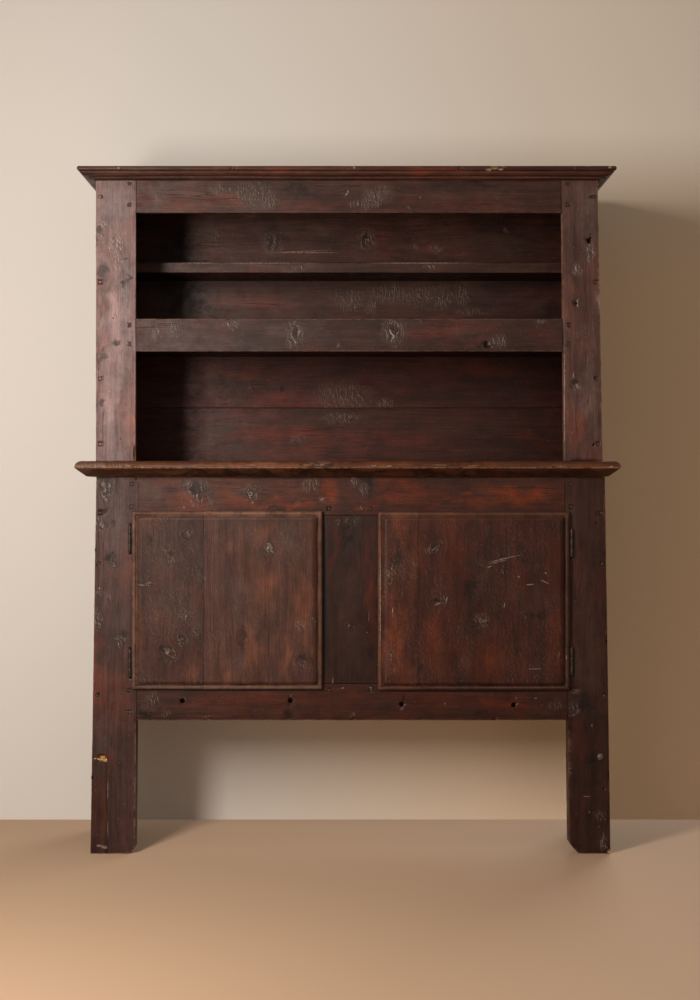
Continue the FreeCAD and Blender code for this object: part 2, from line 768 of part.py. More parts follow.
frieze_rail = cut_all(frieze_rail, rack_pegs_left + rack_pegs_right)
mid_rail = cut_all(mid_rail, rack_pegs_left + rack_pegs_right)
base_left_side = cut_all(base_left_side, [floor_front, floor_rear])
base_right_side = cut_all(base_right_side, [floor_front, floor_rear])
rack_left_side = cut_all(rack_left_side, [mid_shelf, upper_shelf])
rack_right_side = cut_all(rack_right_side, [mid_shelf, upper_shelf])

# Counter board in two boards, housed for the sides and mortised for the rack's stiles
counter_whole = cut_all(counter_board(), [
    base_left_side, base_right_side, rack_left_side, rack_right_side,
    rack_left_stile, rack_right_stile])
front_region = counter_front_region()
counter_front = counter_whole.common(front_region)
counter_rear = counter_whole.cut(front_region)

# Roof boards, and the rack's back in four boards that part behind the shelves
roof_joint_y = front_y + roof_front_width
roof_front = plank(
    rack_left_outer, rack_right_outer, front_y, roof_joint_y, roof_z, roof_top_z)
roof_rear = plank(
    rack_left_outer, rack_right_outer, roof_joint_y, back_y, roof_z, roof_top_z)
rack_back_levels = [
    counter_top_z,
    counter_top_z + rack_back_low_rise,
    mid_shelf_z + mid_shelf_thick / 2,
    upper_shelf_z + upper_shelf_thick / 2,
    roof_z]
rack_backs = [
    plank(rack_left_outer, rack_right_outer, back_board_y, back_y, low, high)
    for low, high in zip(rack_back_levels, rack_back_levels[1:])]

cornice_front, cornice_left, cornice_right = cornice()

# Nails from the stiles into the front edges of the sides
base_nail_shares = (0.17, 0.42, 0.77, 0.905)
rack_nail_shares = (0.06, 0.29, 0.63, 0.93)
base_left_middle = beside(base_left_outer, side_thick / 2)
base_right_middle = beside(base_right_outer, -side_thick / 2)
rack_left_middle = beside(rack_left_outer, side_thick / 2)
rack_right_middle = beside(rack_right_outer, -side_thick / 2)


def stile_nails(middle, z0, height, shares, length):
    heights = [z0 + share * height for share in shares]
    return [nail(V(middle(z), front_y, z), V(0, 1, 0), length) for z in heights]


base_nails_left = stile_nails(
    base_left_middle, 0, base_height, base_nail_shares, frame_nail_length)
base_nails_right = stile_nails(
    base_right_middle, 0, base_height, base_nail_shares, frame_nail_length)
rack_nails_left = stile_nails(
    rack_left_middle, counter_top_z, rack_height, rack_nail_shares, rack_nail_length)
rack_nails_right = stile_nails(
    rack_right_middle, counter_top_z, rack_height, rack_nail_shares, rack_nail_length)
foot_patch = cut_all(foot_patch, base_nails_left[:1])
left_stile = cut_all(left_stile, base_nails_left)
right_stile = cut_all(right_stile, base_nails_right)
rack_left_stile = cut_all(rack_left_stile, rack_nails_left)
rack_right_stile = cut_all(rack_right_stile, rack_nails_right)

# Nails from the back boards into the rear edges of the sides
back_nail_shares = (0.25, 0.75)


def board_nails(boards, left_middle, right_middle):
    """Four nails for each back board, two into each side."""
    groups = []
    for board in boards:
        low = board.BoundBox.ZMin
        height = board.BoundBox.ZLength
        heights = [low + share * height for share in back_nail_shares]
        groups.append([
            nail(V(middle(z), back_y, z), V(0, -1, 0), back_nail_length)
            for z in heights for middle in (left_middle, right_middle)])
    return groups


base_back_nails = board_nails(base_backs, base_left_middle, base_right_middle)
rack_back_nails = board_nails(rack_backs, rack_left_middle, rack_right_middle)
base_backs = [cut_all(board, nails) for board, nails in zip(base_backs, base_back_nails)]
rack_backs = [cut_all(board, nails) for board, nails in zip(rack_backs, rack_back_nails)]
all_base_back_nails = [made for group in base_back_nails for made in group]
all_rack_back_nails = [made for group in rack_back_nails for made in group]
base_left_side = cut_all(base_left_side, base_nails_left + all_base_back_nails)
base_right_side = cut_all(base_right_side, base_nails_right + all_base_back_nails)

# Nails down through the roof boards into the heads of the sides
roof_nail_share_rows = ((roof_front, (0.35, 0.75)), (roof_rear, (0.25, 0.70)))
roof_nails = [
    nail(V(middle(roof_top_z), board.BoundBox.YMin + share * board.BoundBox.YLength, roof_top_z),
         V(0, 0, -1), roof_nail_length)
    for board, shares in roof_nail_share_rows
    for share in shares
    for middle in (rack_left_middle, rack_right_middle)]

# Nails through the cornice into the edges of the roof boards
cornice_nail_z = top_z - cornice_nose_height / 2
cornice_front_shares = (0.05, 0.275, 0.5, 0.725, 0.95)
cornice_return_shares = (0.3, 0.8)
cornice_left_x = rack_left_outer(cornice_bottom_z)
cornice_right_x = rack_right_outer(cornice_bottom_z)
cornice_front_nails = [
    nail(V(cornice_left_x + share * (cornice_right_x - cornice_left_x),
           front_y - cornice_projection, cornice_nail_z), V(0, 1, 0), cornice_nail_length)
    for share in cornice_front_shares]
cornice_left_nails = [
    nail(V(cornice_left_x - cornice_projection, front_y + share * case_depth, cornice_nail_z),
         V(1, 0, 0), cornice_nail_length)
    for share in cornice_return_shares]
cornice_right_nails = [
    nail(V(cornice_right_x + cornice_projection, front_y + share * case_depth, cornice_nail_z),
         V(-1, 0, 0), cornice_nail_length)
    for share in cornice_return_shares]
cornice_nails = cornice_front_nails + cornice_left_nails + cornice_right_nails
cornice_front = cut_all(cornice_front, cornice_front_nails)
cornice_left = cut_all(cornice_left, cornice_left_nails)
cornice_right = cut_all(cornice_right, cornice_right_nails)
roof_front = cut_all(roof_front, roof_nails + cornice_nails)
roof_rear = cut_all(roof_rear, roof_nails + cornice_nails)
rack_left_side = cut_all(rack_left_side, rack_nails_left + all_rack_back_nails + roof_nails)
rack_right_side = cut_all(rack_right_side, rack_nails_right + all_rack_back_nails + roof_nails)

# Doors
left_hinge_board, left_meeting_board = door(
    left_door_left_x, left_door_right_x, left_door_joint_x, left_door_z)
right_meeting_board, right_hinge_board = door(
    right_door_left_x, right_door_right_x, right_door_joint_x, right_door_z)


ledge_nail_column_shares = (0.10, 0.55, 0.90)
ledge_nail_row_shares = (-0.22, 0.22)


def door_fittings(hinge_x, side, door_z, free_x, hinge_door_x, lower_rise, upper_drop):
    """Hinges, ledges and nails of one door; side is +1 where the door lies right of its axis."""
    made = {}
    spans = [door_z + lower_rise, door_z + door_height - upper_drop - hinge_length]
    made["frame_leaves"] = [frame_leaf(hinge_x, side, z) for z in spans]
    made["door_leaves"] = [door_leaf(hinge_x, side, z) for z in spans]
    made["pins"] = [hinge_pin(hinge_x, z) for z in spans]
    x0, x1 = sorted((hinge_door_x + side * ledge_hinge_inset, free_x - side * ledge_free_inset))
    middles = [z + hinge_length / 2 for z in spans]
    made["ledges"] = [ledge(x0, x1, z) for z in middles]
    columns = [x0 + share * (x1 - x0) for share in ledge_nail_column_shares]
    rows = [z + share * ledge_height for z in middles for share in ledge_nail_row_shares]
    made["ledge_nails"] = [
        nail(V(x, door_body_back_y + ledge_thick, z), V(0, -1, 0), ledge_nail_length)
        for x in columns for z in rows]
    return made


left_fittings = door_fittings(
    left_hinge_x, 1, left_door_z, left_door_right_x, left_door_left_x,
    left_lower_hinge_rise, left_upper_hinge_drop)
right_fittings = door_fittings(
    right_hinge_x, -1, right_door_z, right_door_left_x, right_door_right_x,
    right_lower_hinge_rise, right_upper_hinge_drop)

for fittings in (left_fittings, right_fittings):
    fittings["ledges"] = [cut_all(made, fittings["ledge_nails"]) for made in fittings["ledges"]]
left_hinge_board = cut_all(
    left_hinge_board, left_fittings["door_leaves"] + left_fittings["ledge_nails"])
left_meeting_board = cut_all(left_meeting_board, left_fittings["ledge_nails"])
right_hinge_board = cut_all(
    right_hinge_board, right_fittings["door_leaves"] + right_fittings["ledge_nails"])
right_meeting_board = cut_all(right_meeting_board, right_fittings["ledge_nails"])
left_stile = cut_all(left_stile, left_fittings["frame_leaves"])
right_stile = cut_all(right_stile, right_fittings["frame_leaves"])

# Base
save("base_left_stile", left_stile)
save("base_right_stile", right_stile)
save("left_foot_patch", foot_patch)
save("base_left_side", base_left_side)
save("base_right_side", base_right_side)
save("base_top_rail", base_top_rail)
save("base_bottom_rail", base_bottom_rail)
save("base_centre_stile", base_centre_stile)
save("cupboard_floor_front", floor_front)
save("cupboard_floor_rear", floor_rear)
save("cupboard_shelf", cupboard_shelf)
save_group("shelf_cleats", cleats)
save("base_back_low", base_backs[0])
save("base_back_middle", base_backs[1])
save("base_back_top", base_backs[2])
save("counter_front_board", counter_front)
save("counter_rear_board", counter_rear)

# Rack
save("rack_left_stile", rack_left_stile)
save("rack_right_stile", rack_right_stile)
save("rack_left_side", rack_left_side)
save("rack_right_side", rack_right_side)
save("frieze_rail", frieze_rail)
save("mid_rail", mid_rail)
save("mid_shelf", mid_shelf)
save("upper_shelf", upper_shelf)
save("roof_front_board", roof_front)
save("roof_rear_board", roof_rear)
save("rack_back_low", rack_backs[0])
save("rack_back_middle", rack_backs[1])
save("rack_back_upper", rack_backs[2])
save("rack_back_top", rack_backs[3])
save("cornice_front", cornice_front)
save("cornice_left_return", cornice_left)
save("cornice_right_return", cornice_right)

# Pegs and nails
save_group(
    "joint_pegs",
    stile_pegs_left + stile_pegs_right + middle_pegs + rack_pegs_left + rack_pegs_right)
save_group(
    "frame_nails", base_nails_left + base_nails_right + rack_nails_left + rack_nails_right)
save_group("back_nails", all_base_back_nails + all_rack_back_nails)
save_group("roof_nails", roof_nails)
save_group("cornice_nails", cornice_nails)

# Hinges
save("left_lower_frame_leaf", left_fittings["frame_leaves"][0])
save("left_upper_frame_leaf", left_fittings["frame_leaves"][1])
save("right_lower_frame_leaf", right_fittings["frame_leaves"][0])
save("right_upper_frame_leaf", right_fittings["frame_leaves"][1])
save_group("hinge_pins", left_fittings["pins"] + right_fittings["pins"])

# Doors
save("left_door_hinge_board", left_hinge_board)
save("left_door_meeting_board", left_meeting_board)
save("left_door_lower_ledge", left_fittings["ledges"][0])
save("left_door_upper_ledge", left_fittings["ledges"][1])
save("left_lower_door_leaf", left_fittings["door_leaves"][0])
save("left_upper_door_leaf", left_fittings["door_leaves"][1])
save_group("left_door_nails", left_fittings["ledge_nails"])
save("right_door_hinge_board", right_hinge_board)
save("right_door_meeting_board", right_meeting_board)
save("right_door_lower_ledge", right_fittings["ledges"][0])
save("right_door_upper_ledge", right_fittings["ledges"][1])
save("right_lower_door_leaf", right_fittings["door_leaves"][0])
save("right_upper_door_leaf", right_fittings["door_leaves"][1])
save_group("right_door_nails", right_fittings["ledge_nails"])
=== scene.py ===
import json
import math
import random

import bmesh
import bpy
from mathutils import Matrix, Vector
from mathutils.bvhtree import BVHTree
from mathutils.kdtree import KDTree

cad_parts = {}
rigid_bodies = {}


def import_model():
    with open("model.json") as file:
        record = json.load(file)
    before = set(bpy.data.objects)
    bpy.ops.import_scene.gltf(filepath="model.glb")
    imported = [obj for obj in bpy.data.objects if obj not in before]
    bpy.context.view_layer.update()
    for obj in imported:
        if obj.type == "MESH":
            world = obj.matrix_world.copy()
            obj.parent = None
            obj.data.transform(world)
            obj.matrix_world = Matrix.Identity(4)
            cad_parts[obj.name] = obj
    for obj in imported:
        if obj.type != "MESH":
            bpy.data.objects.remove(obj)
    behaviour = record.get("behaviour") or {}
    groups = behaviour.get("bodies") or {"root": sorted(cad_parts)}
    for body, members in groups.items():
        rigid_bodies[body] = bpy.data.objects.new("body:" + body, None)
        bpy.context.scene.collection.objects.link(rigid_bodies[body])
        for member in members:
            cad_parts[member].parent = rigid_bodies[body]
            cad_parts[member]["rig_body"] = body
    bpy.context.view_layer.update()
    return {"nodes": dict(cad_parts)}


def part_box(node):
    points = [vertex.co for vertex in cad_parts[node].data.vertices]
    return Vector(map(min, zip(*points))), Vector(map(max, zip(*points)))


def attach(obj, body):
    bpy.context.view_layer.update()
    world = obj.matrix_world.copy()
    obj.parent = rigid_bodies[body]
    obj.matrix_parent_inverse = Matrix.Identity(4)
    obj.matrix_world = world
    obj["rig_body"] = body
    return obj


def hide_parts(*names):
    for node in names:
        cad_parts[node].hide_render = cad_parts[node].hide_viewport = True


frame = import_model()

scene = bpy.context.scene
scene.view_settings.view_transform = "Standard"

# Sizes are in metres, but marks and chips are given in millimetres.
millimetre = 0.001
frame_front, door_front, moulding_front = -0.178, -0.193, -0.222
back_front, upper_shelf_front = 0.202, 0.017
same_point, same_plane = 0.00002, math.radians(0.6)
crease = math.radians(35)
touching = 0.0012    # as near as this, two boards make a joint
hole_edge = 0.0055   # the edges round nail and peg holes are shorter than this
row_along, row_across, edge_rows = 0.012, 0.03, (0.0035, 0.009)
crisp_arris, rubbed_arris = 0.0006, 0.0016


def colour(red, green, blue):
    """A screen colour of 0 to 255 as the light that it stands for."""
    parts = [c / 255 for c in (red, green, blue)]
    return tuple(c / 12.92 if c <= 0.04045 else ((c + 0.055) / 1.055) ** 2.4 for c in parts) + (1.0,)


# What time has done to each board, with some painted light and shade. tint: how its stain differs from its tones,
# and on the left rack stile it is painted light as well. wrinkled: how far it is wrinkled all over. Tears are chips,
# knot holes and the notch in the spliced foot: their places and half sizes. All others are marks: x, z, half width,
# half height and, where it leans, the turn in degrees.
board_marks = {
    "rack_left_stile": dict(
        # Its strong tint is partly painted light, a painted sheen of the window light on the left.
        tint=(1.84, 2.34, 2.92), wrinkled=0.12,
        knots=[(-668, 1686, 8.1, 10.8), (-662, 1574, 16.2, 18.9), (-662, 1345, 13.5, 10.8), (-666, 1220, 8.1, 10.8)],
        crazes=[(-665, 1663, 10.8, 8.1), (-628, 1650, 18.9, 32.4), (-620, 1598, 16.2, 21.6), (-658, 1701, 13.5, 16.2)],
        bruises_and_shade=[(-661, 1566, 14, 12), (-634, 1382, 13.5, 8.1), (-666, 1334, 13.5, 27), (-597, 1542, 5.4, 21.6),
            (-597, 1606, 8.1, 8.1)],
        holes=[(-614, 1121, 2.2, 2.2), (-634, 1447, 2.2, 2.2)],
        ruddy=[(-671, 1374, 13.5, 121.5), (-674, 1496, 10.8, 54), (-588, 1172, 13.5, 108)],
        greyed=[(-600, 1496, 14, 162), (-645, 1160, 20, 70), (-630, 1750, 50, 60)],
        faded=[(-630, 1395, 30, 120), (-634, 1225, 20, 90)],
        worn_tears=[(-573, -178, 1078, 6, 8, 21), (-680, -178, 1655, 3, 4, 10), (-681, -178, 1310, 3, 4, 7)]),
    "rack_right_stile": dict(
        tint=(1.74, 1.91, 2.21),
        knots=[(618, 1488, 10.8, 10.8), (614, 1274, 10.8, 8.1)],
        crazes=[(625, 1485, 8.1, 10.8), (624, 1261, 10.8, 8.1), (654, 1625, 13.5, 27), (622, 1577, 16.2, 21.6)],
        bruises_and_shade=[(654, 1631, 16.2, 37.8), (616, 1272, 16.2, 8.1)],
        holes=[(669, 1284, 3.2, 3.2), (664, 1105, 3.8, 3.8), (650, 1612, 2.7, 2.7), (656, 1674, 2.2, 3.2),
            (631, 1631, 2.2, 2.2)],
        scratches=[(610, 1294, 1.4, 8.1), (666, 1102, 3.2, 1.6), (586, 1226, 1.4, 162)],
        ruddy=[(614, 1496, 21.6, 67.5), (627, 1145, 32.4, 54)],
        greyed=[(641, 1739, 48.6, 70.2), (660, 1226, 27, 108)],
        dark_tears=[(652, -178, 1656, 6, 12, 8), (655, -178, 1663, 4, 8, 4), (617, -178, 1487, 4, 4, 4),
            (669, -178, 1284, 3, 4, 3), (664, -178, 1104, 3, 4, 3)]),
    "frieze_rail": dict(
        tint=(0.74, 0.74, 0.77),
        knots=[(-2, 1785, 5, 8)],
        crazes=[(-510, 1779, 10.8, 13.5), (-345, 1796, 30, 13), (-262, 1784, 52, 34), (-212, 1760, 24, 22),
            (-2, 1785, 5.4, 10.8), (70, 1770, 46, 26, -35), (40, 1757, 30, 14), (166, 1750, 8.1, 8.1),
            (195, 1774, 8.1, 5.4)],
        bruises_and_shade=[(-129, 1793, 54, 16.2), (357, 1806, 40.5, 10.8)],
        ruddy=[(-426, 1752, 81, 21.6), (-48, 1750, 135, 18.9), (276, 1752, 216, 21.6), (-318, 1766, 54, 21.6)],
        greyed=[(-240, 1770, 62, 37.8), (-507, 1793, 37.8, 21.6), (82, 1787, 54, 27)]),
    "mid_rail": dict(
        tint=(0.82, 0.78, 0.86),
        knots=[(374, 1380, 10.8, 13.5), (-140, 1407, 13.5, 16.2), (125, 1412, 10.8, 16.2)],
        crazes=[(-466, 1415, 21.6, 24.3), (-516, 1413, 10.8, 21.6), (-310, 1431, 18.9, 13.5), (-142, 1401, 21.6, 40.5),
            (-23, 1377, 5.4, 8.1), (125, 1412, 35.1, 32.4, -35), (411, 1385, 21.6, 18.9), (519, 1436, 16.2, 10.8)],
        bruises_and_shade=[(371, 1374, 16.2, 16.2)],
        ruddy=[(-399, 1439, 37.8, 10.8), (290, 1404, 162, 32.4), (519, 1401, 54, 32.4)],
        greyed=[(-480, 1393, 70.2, 32.4), (-129, 1399, 108, 32.4), (-264, 1374, 108, 21.6)],
        dark_tears=[(373, -178, 1376, 5, 9, 9), (380, -178, 1369, 7, 4, 4)],
        worn_tears=[(-505, -178, 1447, 14, 4, 3), (-318, -178, 1447, 10, 3, 3), (130, -178, 1447, 8, 3, 2.5),
            (-140, -178, 1447, 10, 3, 3)]),
    "base_left_stile": dict(
        tint=(1.26, 1.33, 1.5),
        knots=[(-665, 904, 10.8, 13.5), (-655, 991, 10.8, 13.5)],
        crazes=[(-655, 977, 21.6, 37.8), (-666, 888, 16.2, 21.6), (-631, 788, 13.5, 10.8), (-674, 707, 8.1, 13.5),
            (-647, 686, 10.8, 13.5), (-674, 632, 13.5, 32.4), (-612, 578, 16.2, 16.2)],
        bruises_and_shade=[(-655, 996, 27, 27), (-663, 902, 21.6, 21.6), (-615, 578, 21.6, 21.6), (-642, 794, 27, 21.6)],
        holes=[(-658, 975, 2.4, 2.4), (-665, 904, 3.2, 3.2), (-673, 783, 2.2, 2.2), (-634, 813, 2.4, 2.4)],
        scratches=[(-673, 782, 3.2, 2.7), (-671, 717, 1.9, 2.7), (-653, 956, 2.2, 4.3, 20), (-648.3, 172, 0.9, 30),
            (-648, 66, 0.8, 26, 1)],
        cracks_and_shadows=[(-647, 389, 0.9, 135)],
        ruddy=[(-677, 510, 21.6, 81), (-593, 794, 13.5, 108), (-669, 443, 54, 54), (-615, 416, 32.4, 81)],
        greyed=[(-636, 848, 48.6, 162), (-628, 659, 40.5, 108), (-658, 308, 27, 64.8)],
        pale_tears=[(-662, -178, 262, 8, 5, 4)],
        worn_tears=[(-567, -178, 1012, 4, 4, 5), (-572, -178, 100, 3, 4, 9), (-571, -178, 330, 3, 4, 6)]),
    "left_foot_patch": dict(
        tint=(1.05, 1.05, 1.05),
        scratches=[(-655, 18, 11, 5), (-671, 22, 8.1, 3.5)],
        ruddy=[(-669, 146, 27, 135)],
        greyed=[(-674, 227, 21.6, 21.6)],
        raw=[(-663, 261, 21.6, 5.9)],
        pale_tears=[(-655, -178, 256, 9, 6, 6), (-668, -178, 259, 8, 5, 4), (-648, -178, 253, 5, 6, 7)],
        dark_tears=[(-694, -178, 160, 4, 6, 7), (-696, -170, 118, 3, 8, 6), (-690, -178, 205, 3, 4, 5)]),
    "base_right_stile": dict(
        tint=(0.88, 0.82, 0.84),
        knots=[(633, 394, 10.8, 10.8)],
        crazes=[(611, 435, 13.5, 10.8), (611, 389, 16.2, 21.6), (681, 105, 13.5, 16.2), (689, 24, 13.5, 21.6)],
        bruises_and_shade=[(670, 259, 18.9, 16.2), (635, 402, 27, 32.4)],
        holes=[(687, 923, 2.7, 2.7), (671, 894, 3.8, 4.3)],
        scratches=[(600, 231, 4.3, 1.4), (646, 155, 9.5, 1.4), (653, 112, 2.2, 2.2), (695, 92, 2.7, 2.2),
            (679, 73, 1.9, 2.4), (660, 347, 2.2, 4.3), (591, 283, 1.6, 8.1), (689, 35, 1.4, 27, 8),
            (611, 434, 2.7, 2.2), (600, 373, 2.2, 2.2), (611, 375, 3.2, 2.7)],
        ruddy=[(627, 308, 32.4, 81), (681, 686, 21.6, 162)],
        greyed=[(614, 923, 27, 54), (649, 524, 37.8, 135)],
        pale_tears=[(708, -178, 6, 8, 6, 6)],
        worn_tears=[(593, -178, 285, 3, 4, 8), (595, -178, 225, 2.5, 4, 5), (699, -178, 800, 3, 4, 7)]),
    "base_top_rail": dict(
        tint=(0.88, 0.8, 0.82),
        knots=[(-410, 983, 16.2, 21.6), (-264, 969, 10.8, 10.8)],
        crazes=[(-407, 977, 37.8, 37.8), (-366, 950, 13.5, 10.8), (-253, 977, 21.6, 16.2), (-264, 964, 16.2, 16.2),
            (-99, 996, 24.3, 21.6), (-69, 958, 8.1, 8.1), (20, 1004, 10.8, 18.9), (47, 983, 13.5, 21.6),
            (37, 932, 3.2, 5.9)],
        bruises_and_shade=[(-407, 977, 37.8, 37.8), (47, 996, 27, 32.4)],
        scratches=[(37, 933, 1.6, 4.9, -15), (-442, 937, 2.4, 3.2), (-69, 958, 6.8, 1.9, -30)],
        ruddy=[(-48, 977, 21.6, 43.2), (155, 977, 91.8, 32.4), (276, 950, 162, 16.2), (-169, 948, 135, 13.5),
            (465, 969, 108, 27), (60, 940, 37.8, 10.8)],
        greyed=[(-407, 983, 54, 32.4), (39, 996, 32.4, 27), (-534, 983, 37.8, 32.4), (-264, 991, 64.8, 16.2)]),
    "base_bottom_rail": dict(
        tint=(1.02, 0.8, 0.7),
        knots=[(-161, 381, 13.5, 10.8, -35)],
        crazes=[(-493, 378, 13.5, 13.5), (-377, 367, 10.8, 8.1), (-528, 416, 21.6, 21.6), (17, 375, 8.1, 8.1),
            (562, 400, 16.2, 16.2)],
        bruises_and_shade=[(-169, 383, 24.3, 13.5, -35), (-539, 383, 32.4, 16.2)],
        scratches=[(153, 403, 7, 1.6, -15), (457, 404, 5.4, 1.6, -40), (455, 421, 2.2, 3.2), (509, 420, 4.3, 1.6),
            (-154, 427, 1.4, 2.7), (403, 367, 4.1, 1.4), (263, 405, 2.2, 2.2), (-14, 447, 4.9, 1.9, -20),
            (63, 448, 5.4, 2.2, 10), (-439, 417, 1.4, 3.2)],
        # The two long dark cracks under the doors are painted shadow of the doors' lower edges.
        cracks_and_shadows=[(-325, 442, 275, 4), (340, 440, 275, 4.5)],
        ruddy=[(-264, 416, 162, 37.8), (-48, 410, 135, 37.8), (222, 416, 135, 32.4), (411, 402, 135, 27)],
        greyed=[(-534, 400, 37.8, 32.4), (-169, 375, 43.2, 16.2), (519, 383, 54, 16.2)],
        worn_tears=[(-376, -178, 361, 8, 4, 3), (18, -178, 361, 6, 4, 3), (403, -178, 361, 7, 4, 3),
            (-524, -178, 361, 6, 4, 3)]),
    "base_centre_stile": dict(
        tint=(0.6, 0.48, 0.46),
        knots=[(1, 888, 10.8, 10.8), (9, 613, 13.5, 10.8)],
        crazes=[(12, 899, 27, 13.5), (-26, 894, 8.1, 8.1), (9, 613, 16.2, 10.8)],
        bruises_and_shade=[(-7, 848, 16.2, 21.6)],
        scratches=[(57, 637, 1.6, 10.8), (58, 648, 1.1, 8.1, -8), (-26, 891, 2.2, 4.1), (53, 598, 1.9, 2.2),
            (-40, 466, 1.9, 9.7)],
        # The long dark crack beside the left door's edge is painted shadow of the door on the stile.
        cracks_and_shadows=[(-64, 686, 8, 262)],
        ruddy=[(-45, 794, 10.8, 108), (63, 686, 13.5, 189), (-48, 551, 8.1, 54)],
        greyed=[(6, 767, 37.8, 135), (12, 551, 32.4, 81)]),
    "left_door_hinge_board": dict(
        tint=(0.82, 0.73, 0.8), wrinkled=0.34,
        knots=[(-435, 862, 13.5, 16.1), (-449, 582, 13.5, 13.5), (-489, 552, 16.1, 13.5), (-478, 808, 10.8, 10.8)],
        crazes=[(-435, 862, 18.8, 18.8), (-483, 813, 26.9, 21.5), (-473, 789, 21.5, 8.1), (-449, 579, 21.5, 18.8),
            (-478, 539, 24.2, 21.5), (-532, 730, 13.5, 8.1), (-462, 708, 5.4, 5.4), (-411, 595, 13.5, 16.1),
            (-559, 493, 5.4, 8.1), (-497, 902, 16.1, 13.5), (-436, 643, 26, 16)],
        bruises_and_shade=[(-494, 552, 18.8, 18.8), (-527, 848, 21.5, 26.9)],
        scratches=[(-556, 727, 10.8, 1.9, 8), (-535, 733, 8.1, 1.9, -20)],
        ruddy=[(-558, 600, 16, 75), (-516, 671, 12, 26), (-527, 916, 37.7, 8.1, -10), (-424, 498, 26.9, 32.3)],
        greyed=[(-478, 687, 53.8, 80.7), (-424, 633, 37.7, 53.8), (-492, 768, 53.8, 53.8)]),
    "left_door_meeting_board": dict(
        tint=(1.06, 1.0, 1.12), wrinkled=0.16,
        knots=[(-212, 821, 13.5, 16.1), (-123, 515, 13.5, 10.8)],
        crazes=[(-212, 824, 16.1, 18.8), (-389, 741, 5.4, 13.5), (-91, 630, 5.4, 8.1), (-300, 910, 8.1, 5.4),
            (-128, 614, 16.1, 13.5), (-123, 515, 18.8, 13.5)],
        bruises_and_shade=[(-123, 520, 24.2, 18.8), (-290, 579, 16.1, 53.8)],
        scratches=[(-389, 749, 2.7, 1.6)],
        ruddy=[(-231, 714, 37.7, 70), (-263, 552, 37.7, 80.7), (-169, 539, 16.1, 64.6), (-311, 835, 16.1, 37.7),
            (-327, 485, 16.1, 32.3), (-236, 864, 26.9, 26.9), (-128, 687, 32.3, 107.6)],
        greyed=[(-290, 673, 26.9, 80.7), (-155, 848, 37.7, 43.1), (-290, 525, 26.9, 37.7)]),
    "right_door_hinge_board": dict(
        tint=(0.88, 0.72, 0.72), wrinkled=0.2,
        knots=[(240, 687, 13.5, 13.5), (235, 829, 13.5, 10.8, -35), (480, 641, 8.1, 8.1), (520, 641, 8.1, 8.1),
            (181, 520, 13.5, 16.1)],
        crazes=[(232, 827, 29.6, 13.5, -35), (362, 633, 24.2, 18.8), (173, 525, 16.1, 16.1), (259, 684, 8.1, 16.1),
            (418, 768, 8.1, 10.8)],
        bruises_and_shade=[(329, 687, 21.5, 134.6), (518, 641, 26.9, 13.5), (475, 813, 26.9, 21.5), (181, 517, 21.5, 21.5)],
        scratches=[(423, 798, 45.8, 1.6, -13), (405, 789, 26.9, 1.3, -13), (382, 776, 8.1, 1.6, -20),
            (461, 749, 4.3, 1.9, 40), (491, 728, 12.1, 1.9, -5), (531, 735, 13.5, 1.6, 25), (534, 759, 4.3, 2.2, 30),
            (422, 673, 1.6, 8.1, 8), (267, 687, 1.6, 9.2, 15), (243, 676, 10.8, 1.6, -25), (569, 539, 1.9, 6.7, 15),
            (589, 531, 1.6, 6.5, 10), (504, 501, 21.5, 1.1), (370, 630, 10.8, 1.3, -15), (232, 824, 8.1, 1.6, -40)],
        ruddy=[(135, 579, 43.1, 161.5), (173, 794, 32.3, 161.5), (235, 560, 45, 120), (383, 525, 60, 50),
            (571, 579, 20, 80)],
        greyed=[(343, 619, 59.2, 37.7), (343, 794, 21.5, 134.6), (216, 816, 64.6, 18.8, -35), (518, 687, 53.8, 37.7),
            (321, 525, 18.8, 80.7)]),
    "right_door_meeting_board": dict(
        tint=(1.28, 1.16, 1.14), wrinkled=0.16,
        crazes=[(114, 754, 13.5, 26.9), (119, 539, 8.1, 10.8)],
        bruises_and_shade=[(119, 794, 10.8, 53.8)],
        scratches=[(88, 687, 1.3, 161.5), (122, 654, 1.1, 13.5)],
        ruddy=[(146, 552, 21.5, 134.6), (135, 875, 21.5, 80.7), (109, 633, 16.1, 107.6)],
        greyed=[(114, 754, 21.5, 43.1), (127, 942, 13.5, 80.7)]),
    "rack_back_top": dict(
        tint=(1.85, 1.9, 2.0),
        knots=[(-216, 1699, 17.5, 17.5, 20), (53, 1714, 14.6, 17.5)],
        crazes=[(-385, 1725, 8.8, 23.4), (-222, 1705, 35.1, 26.3, 25), (59, 1716, 26.3, 29.2, -30),
            (199, 1696, 11.7, 8.8), (264, 1681, 5.8, 5.8), (462, 1740, 5.8, 8.8), (258, 1690, 23.4, 11.7)],
        scratches=[(-122, 1677, 99.4, 1.5), (-134, 1681, 76, 1.2, -2), (262, 1680, 1.8, 2.6)],
        ruddy=[(269, 1670, 87.7, 14.6)],
        greyed=[(-140, 1743, 175.4, 29.2), (-432, 1728, 58.5, 35.1), (445, 1714, 116.9, 35.1)],
        bruises_and_shade=[(-491, 1684, 58.5, 58.5)]),
    "rack_back_upper": dict(
        tint=(1.25, 1.12, 1.05),
        knots=[(-409, 1509, 8.8, 8.8)],
        crazes=[(71, 1518, 17.5, 26.3), (281, 1545, 30, 35.1), (357, 1503, 46.8, 8.8), (215, 1552, 60, 32),
            (120, 1560, 60, 26), (6, 1538, 45, 32), (338, 1555, 26, 36)],
        ruddy=[(313, 1503, 175.4, 11.7), (-286, 1538, 116.9, 40.9), (532, 1538, 58.5, 29.2)],
        greyed=[(190, 1560, 190, 36)],
        bruises_and_shade=[(-491, 1538, 70.2, 58.5)]),
    "rack_back_middle": dict(
        tint=(1.6, 1.05, 0.95),
